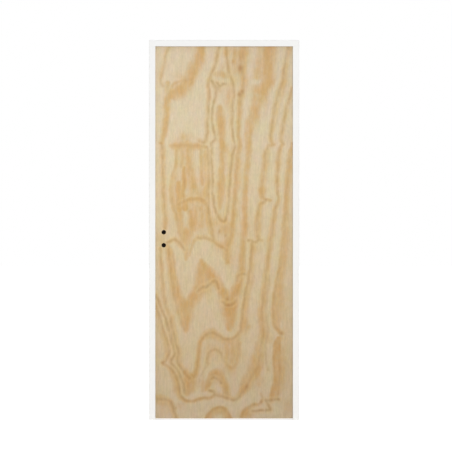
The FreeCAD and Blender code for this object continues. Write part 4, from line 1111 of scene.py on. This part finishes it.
def screw_tree():
    """Geometry nodes that set a cross-slotted countersunk head on each point, facing as the point says."""
    tree = bpy.data.node_groups.new("countersunk_screws", "GeometryNodeTree")
    tree.interface.new_socket("Geometry", in_out="INPUT", socket_type="NodeSocketGeometry")
    for name in ("Head Radius", "Head Rise"):
        tree.interface.new_socket(name, in_out="INPUT", socket_type="NodeSocketFloat")
    tree.interface.new_socket("Seed", in_out="INPUT", socket_type="NodeSocketInt")
    tree.interface.new_socket("Material", in_out="INPUT", socket_type="NodeSocketMaterial")
    tree.interface.new_socket("Geometry", in_out="OUTPUT", socket_type="NodeSocketGeometry")
    given = add(tree, "NodeGroupInput").outputs
    radius, rise = given["Head Radius"], given["Head Rise"]
    # The head tapers to its rim and is sunk in its plate, and two bars cut the arms of its cross slot.
    shares = {
        "rim": (radius, 0.8), "depth": (rise, 2.0), "drop": (rise, -1.0), "arm": (radius, 1.1),
        "slit": (radius, 0.24)}
    size = {
        name: add(tree, "ShaderNodeMath", {0: length, 1: share}, operation="MULTIPLY").outputs[0]
        for name, (length, share) in shares.items()}
    head = add(tree, "GeometryNodeMeshCone", {
        "Vertices": 24, "Radius Top": size["rim"], "Radius Bottom": radius, "Depth": size["depth"]})
    below = add(tree, "ShaderNodeCombineXYZ", {"Z": size["drop"]})
    seated = add(tree, "GeometryNodeTransform", {
        "Geometry": head.outputs["Mesh"], "Translation": below.outputs[0]})
    lift = add(tree, "ShaderNodeCombineXYZ", {"Z": rise})
    slotted = seated
    for wide, high in (("arm", "slit"), ("slit", "arm")):
        block = add(tree, "ShaderNodeCombineXYZ", {"X": size[wide], "Y": size[high], "Z": size["depth"]})
        bar = add(tree, "GeometryNodeMeshCube", {"Size": block.outputs[0]})
        lifted = add(tree, "GeometryNodeTransform", {
            "Geometry": bar.outputs["Mesh"], "Translation": lift.outputs[0]})
        slotted = add(tree, "GeometryNodeMeshBoolean", {
            0: slotted.outputs[0], 1: lifted.outputs[0]}, operation="DIFFERENCE", solver="EXACT")
    facing = add(tree, "GeometryNodeInputNamedAttribute", {"Name": "facing"}, data_type="FLOAT_VECTOR")
    aimed = add(tree, "FunctionNodeAlignRotationToVector", {"Vector": facing.outputs[0]}, axis="Z")
    # Random Value's own sockets for a single number: its least, its most and what is drawn.
    least, most, drawn = 2, 3, 1
    spin = add(tree, "FunctionNodeRandomValue", {
        least: 0.0, most: math.pi / 2, "Seed": given["Seed"]}, data_type="FLOAT")
    turn = add(tree, "FunctionNodeAxisAngleToRotation", {"Axis": (0, 0, 1), "Angle": spin.outputs[drawn]})
    driven = add(tree, "FunctionNodeRotateRotation", {
        "Rotation": aimed.outputs[0], "Rotate By": turn.outputs[0]}, rotation_space="LOCAL")
    heads = add(tree, "GeometryNodeInstanceOnPoints", {
        "Points": given["Geometry"], "Instance": slotted.outputs[0], "Rotation": driven.outputs[0]})
    real = add(tree, "GeometryNodeRealizeInstances", {"Geometry": heads.outputs[0]})
    plated = add(tree, "GeometryNodeSetMaterial", {
        "Geometry": real.outputs[0], "Material": given["Material"]})
    add(tree, "NodeGroupOutput", {"Geometry": plated.outputs[0]})
    return tree


def screw_heads(name, spots, tree, material, hardware):
    """One mesh of screw heads, from their places and the way that each one faces."""
    points = bpy.data.meshes.new(name)
    points.from_pydata([place for place, facing in spots], [], [])
    facing = points.attributes.new("facing", "FLOAT_VECTOR", "POINT")
    facing.data.foreach_set("vector", [share for place, way in spots for share in way])
    carrier = bpy.data.objects.new(name, points)
    bpy.context.scene.collection.objects.link(carrier)
    modifier = carrier.modifiers.new("screws", "NODES")
    modifier.node_group = tree
    values = {
        "Head Radius": hardware.head_radius, "Head Rise": hardware.head_rise, "Seed": 7,
        "Material": material}
    for item in tree.interface.items_tree:
        if item.in_out == "INPUT" and item.name in values:
            modifier[item.identifier] = values[item.name]
    evaluated = carrier.evaluated_get(bpy.context.evaluated_depsgraph_get())
    mesh = bpy.data.meshes.new_from_object(evaluated)
    bpy.data.objects.remove(carrier)
    mesh.name = name
    if not mesh.polygons:
        raise RuntimeError(f"{name} came out empty")
    return mesh


# The four screws of a hinge plate, as rise over its middle and inset from its front edge, and the insets
# of the screws at both ends of the lock's plates.
HINGE_SCREWS = ((-36 * MM, 9 * MM), (-12 * MM, 20 * MM), (12 * MM, 9 * MM), (36 * MM, 20 * MM))
FOREND_INSET, STRIKE_INSET = 11 * MM, 12 * MM


class DOOR_OT_screws(bpy.types.Operator):
    """Drives the screws of the hinges, the forend and the strike plate"""

    bl_idname = "door.screws"
    bl_label = "Screws"

    def execute(self, context):
        hardware = context.scene.door_hardware
        right, left = (1, 0, 0), (-1, 0, 0)
        jamb_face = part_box("hinge_jamb")[0].x
        leaf_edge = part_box("hinge_stile")[1].x
        on_frame, on_leaf = [], []
        for place in ("lower", "middle", "upper"):
            low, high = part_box(f"{place}_hinge_frame_half")
            middle_z = (low.z + high.z) / 2
            for rise, inset in HINGE_SCREWS:
                on_frame.append(((jamb_face, low.y + inset, middle_z + rise), left))
                on_leaf.append(((leaf_edge, low.y + inset, middle_z + rise), right))
        lock_plates = (
            (on_leaf, "lock_forend", left, FOREND_INSET),
            (on_frame, "strike_plate", right, STRIKE_INSET),
        )
        for spots, node, facing, inset in lock_plates:
            low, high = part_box(node)
            face_x = low.x if facing is left else high.x
            for z in (low.z + inset, high.z - inset):
                spots.append(((face_x, (low.y + high.y) / 2, z), facing))
        tree = screw_tree()
        steel = plated_steel("zinc_plated_steel_turned", hardware.zinc, "X")
        for name, spots, body in (("frame_screws", on_frame, "frame"), ("leaf_screws", on_leaf, "leaf")):
            mesh = screw_heads(name, spots, tree, steel, hardware)
            new_piece(name, mesh, body)
        return {"FINISHED"}


def shown_to_eye(tree):
    """1 for the rays that show the background: to the camera, off gloss and through glass."""
    path = add(tree, "ShaderNodeLightPath").outputs
    shown = path["Is Camera Ray"]
    for kind in ("Is Glossy Ray", "Is Transmission Ray"):
        shown = add(tree, "ShaderNodeMath", {0: shown, 1: path[kind]}, operation="MAXIMUM").outputs[0]
    return shown


def white_floor():
    """Matt white floor: plain white to the camera, with the shadow kept under the door and close by."""
    material, tree = new_material("white_studio_floor_matt")
    shown = shown_to_eye(tree)
    white, grey = linear("#F0F0F0"), linear("#B8B8B8")
    colour = add(tree, "ShaderNodeMix", {
        SHARE: shown, FIRST: opaque(white), SECOND: opaque(grey)}, data_type="RGBA")
    matt = add(tree, "ShaderNodeBsdfDiffuse", {"Color": colour.outputs[MIXED]})
    # Less than half of the sky over a point is open only where something hangs low, as the leaf does.
    open_sky = add(tree, "ShaderNodeAmbientOcclusion", {"Distance": 80 * MM}, samples=8)
    clear = add(tree, "ShaderNodeMapRange", {
        VALUE: open_sky.outputs["AO"], FROM_LOW: 0.0, FROM_HIGH: 0.5, TO_LOW: 0.4, TO_HIGH: 0.85},
        interpolation_type="SMOOTHSTEP")
    glow = add(tree, "ShaderNodeMath", {0: shown, 1: clear.outputs[0]}, operation="MULTIPLY")
    lit = add(tree, "ShaderNodeEmission", {"Color": (1, 1, 1, 1), "Strength": glow.outputs[0]})
    both = add(tree, "ShaderNodeAddShader", {0: matt.outputs[0], 1: lit.outputs[0]})
    add(tree, "ShaderNodeOutputMaterial", {"Surface": both.outputs[0]})
    return material


class DOOR_OT_stage(bpy.types.Operator):
    """Sets the floor, the light and the camera"""

    bl_idname = "door.stage"
    bl_label = "Stage"

    def execute(self, context):
        scene, stage = context.scene, context.scene.door_stage
        low, high = cad_box
        middle = (low + high) / 2
        # The floor goes on past all that a view of the door shows.
        reach = 60.0
        mesh = bpy.data.meshes.new("studio_floor")
        corners = [
            (middle.x + x * reach, middle.y + y * reach, low.z)
            for x, y in ((-1, -1), (1, -1), (1, 1), (-1, 1))]
        mesh.from_pydata(corners, [], [(0, 1, 2, 3)])
        mesh.materials.append(white_floor())
        floor = bpy.data.objects.new("studio_floor", mesh)
        scene.collection.objects.link(floor)

        world = bpy.data.worlds.new("white_studio")
        scene.world = world
        world.use_nodes = True
        tree = world.node_tree
        tree.nodes.clear()
        strength = add(tree, "ShaderNodeMapRange", {
            VALUE: shown_to_eye(tree), TO_LOW: stage.sky, TO_HIGH: 1.0})
        white = add(tree, "ShaderNodeBackground", {"Color": (1, 1, 1, 1), "Strength": strength.outputs[0]})
        add(tree, "ShaderNodeOutputWorld", {"Surface": white.outputs[0]})

        # Each lamp has its energy, its turn and the breadth of its disc in degrees. Neither disc dips below
        # the horizon, where the floor would hide a part of it.
        lamps = (
            ("key", stage.key, (89.2, 0, 2), 1.5), ("back_fill", stage.fill, (88, 0, 180), 4))
        for name, energy, turn, breadth in lamps:
            light = bpy.data.lights.new(name, "SUN")
            light.energy = energy
            light.angle = math.radians(breadth)
            lamp = bpy.data.objects.new(name, light)
            lamp.rotation_euler = [math.radians(angle) for angle in turn]
            scene.collection.objects.link(lamp)

        leaf_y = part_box("front_skin")[0].y
        camera = bpy.data.cameras.new("straight_on")
        camera.lens = camera.sensor_width * stage.camera_distance / stage.view_width
        camera.clip_end = 200
        eye = bpy.data.objects.new("straight_on", camera)
        eye.location = (stage.view_middle[0], leaf_y - stage.camera_distance, stage.view_middle[1])
        eye.rotation_euler = (math.radians(90), 0, 0)
        scene.collection.objects.link(eye)
        scene.camera = eye
        scene.view_settings.view_transform = "Standard"
        return {"FINISHED"}


class VIEW3D_PT_door(bpy.types.Panel):
    """The door's settings and its building steps"""

    bl_label = "Flush hollow core door"
    bl_space_type = "VIEW_3D"
    bl_region_type = "UI"
    bl_category = "Door"

    def draw(self, context):
        for name in SETTINGS:
            box = self.layout.box()
            group = getattr(context.scene, name)
            for setting in group.bl_rna.properties:
                if setting.identifier not in ("rna_type", "name"):
                    box.prop(group, setting.identifier)
        for step in STEPS:
            self.layout.operator(step.bl_idname)


SETTINGS = {
    "door_veneer": DoorVeneer,
    "door_paint": DoorPaint,
    "door_hardware": DoorHardware,
    "door_stage": DoorStage,
}
STEPS = (
    DOOR_OT_painted_frame, DOOR_OT_veneer_faces, DOOR_OT_softwood_frame, DOOR_OT_honeycomb_core,
    DOOR_OT_lock, DOOR_OT_hinges, DOOR_OT_screws, DOOR_OT_stage,
)


def register():
    for group in (*SETTINGS.values(), *STEPS, VIEW3D_PT_door):
        bpy.utils.register_class(group)
    for name, group in SETTINGS.items():
        setattr(bpy.types.Scene, name, bpy.props.PointerProperty(type=group))


def unregister():
    for name in SETTINGS:
        delattr(bpy.types.Scene, name)
    for group in (VIEW3D_PT_door, *reversed(STEPS), *SETTINGS.values()):
        bpy.utils.unregister_class(group)


def main():
    register()
    bpy.ops.door.painted_frame()
    bpy.ops.door.veneer_faces()
    bpy.ops.door.softwood_frame()
    bpy.ops.door.honeycomb_core()
    bpy.ops.door.lock()
    bpy.ops.door.hinges()
    bpy.ops.door.screws()
    bpy.ops.door.stage()


if __name__ == "__main__":
    main()
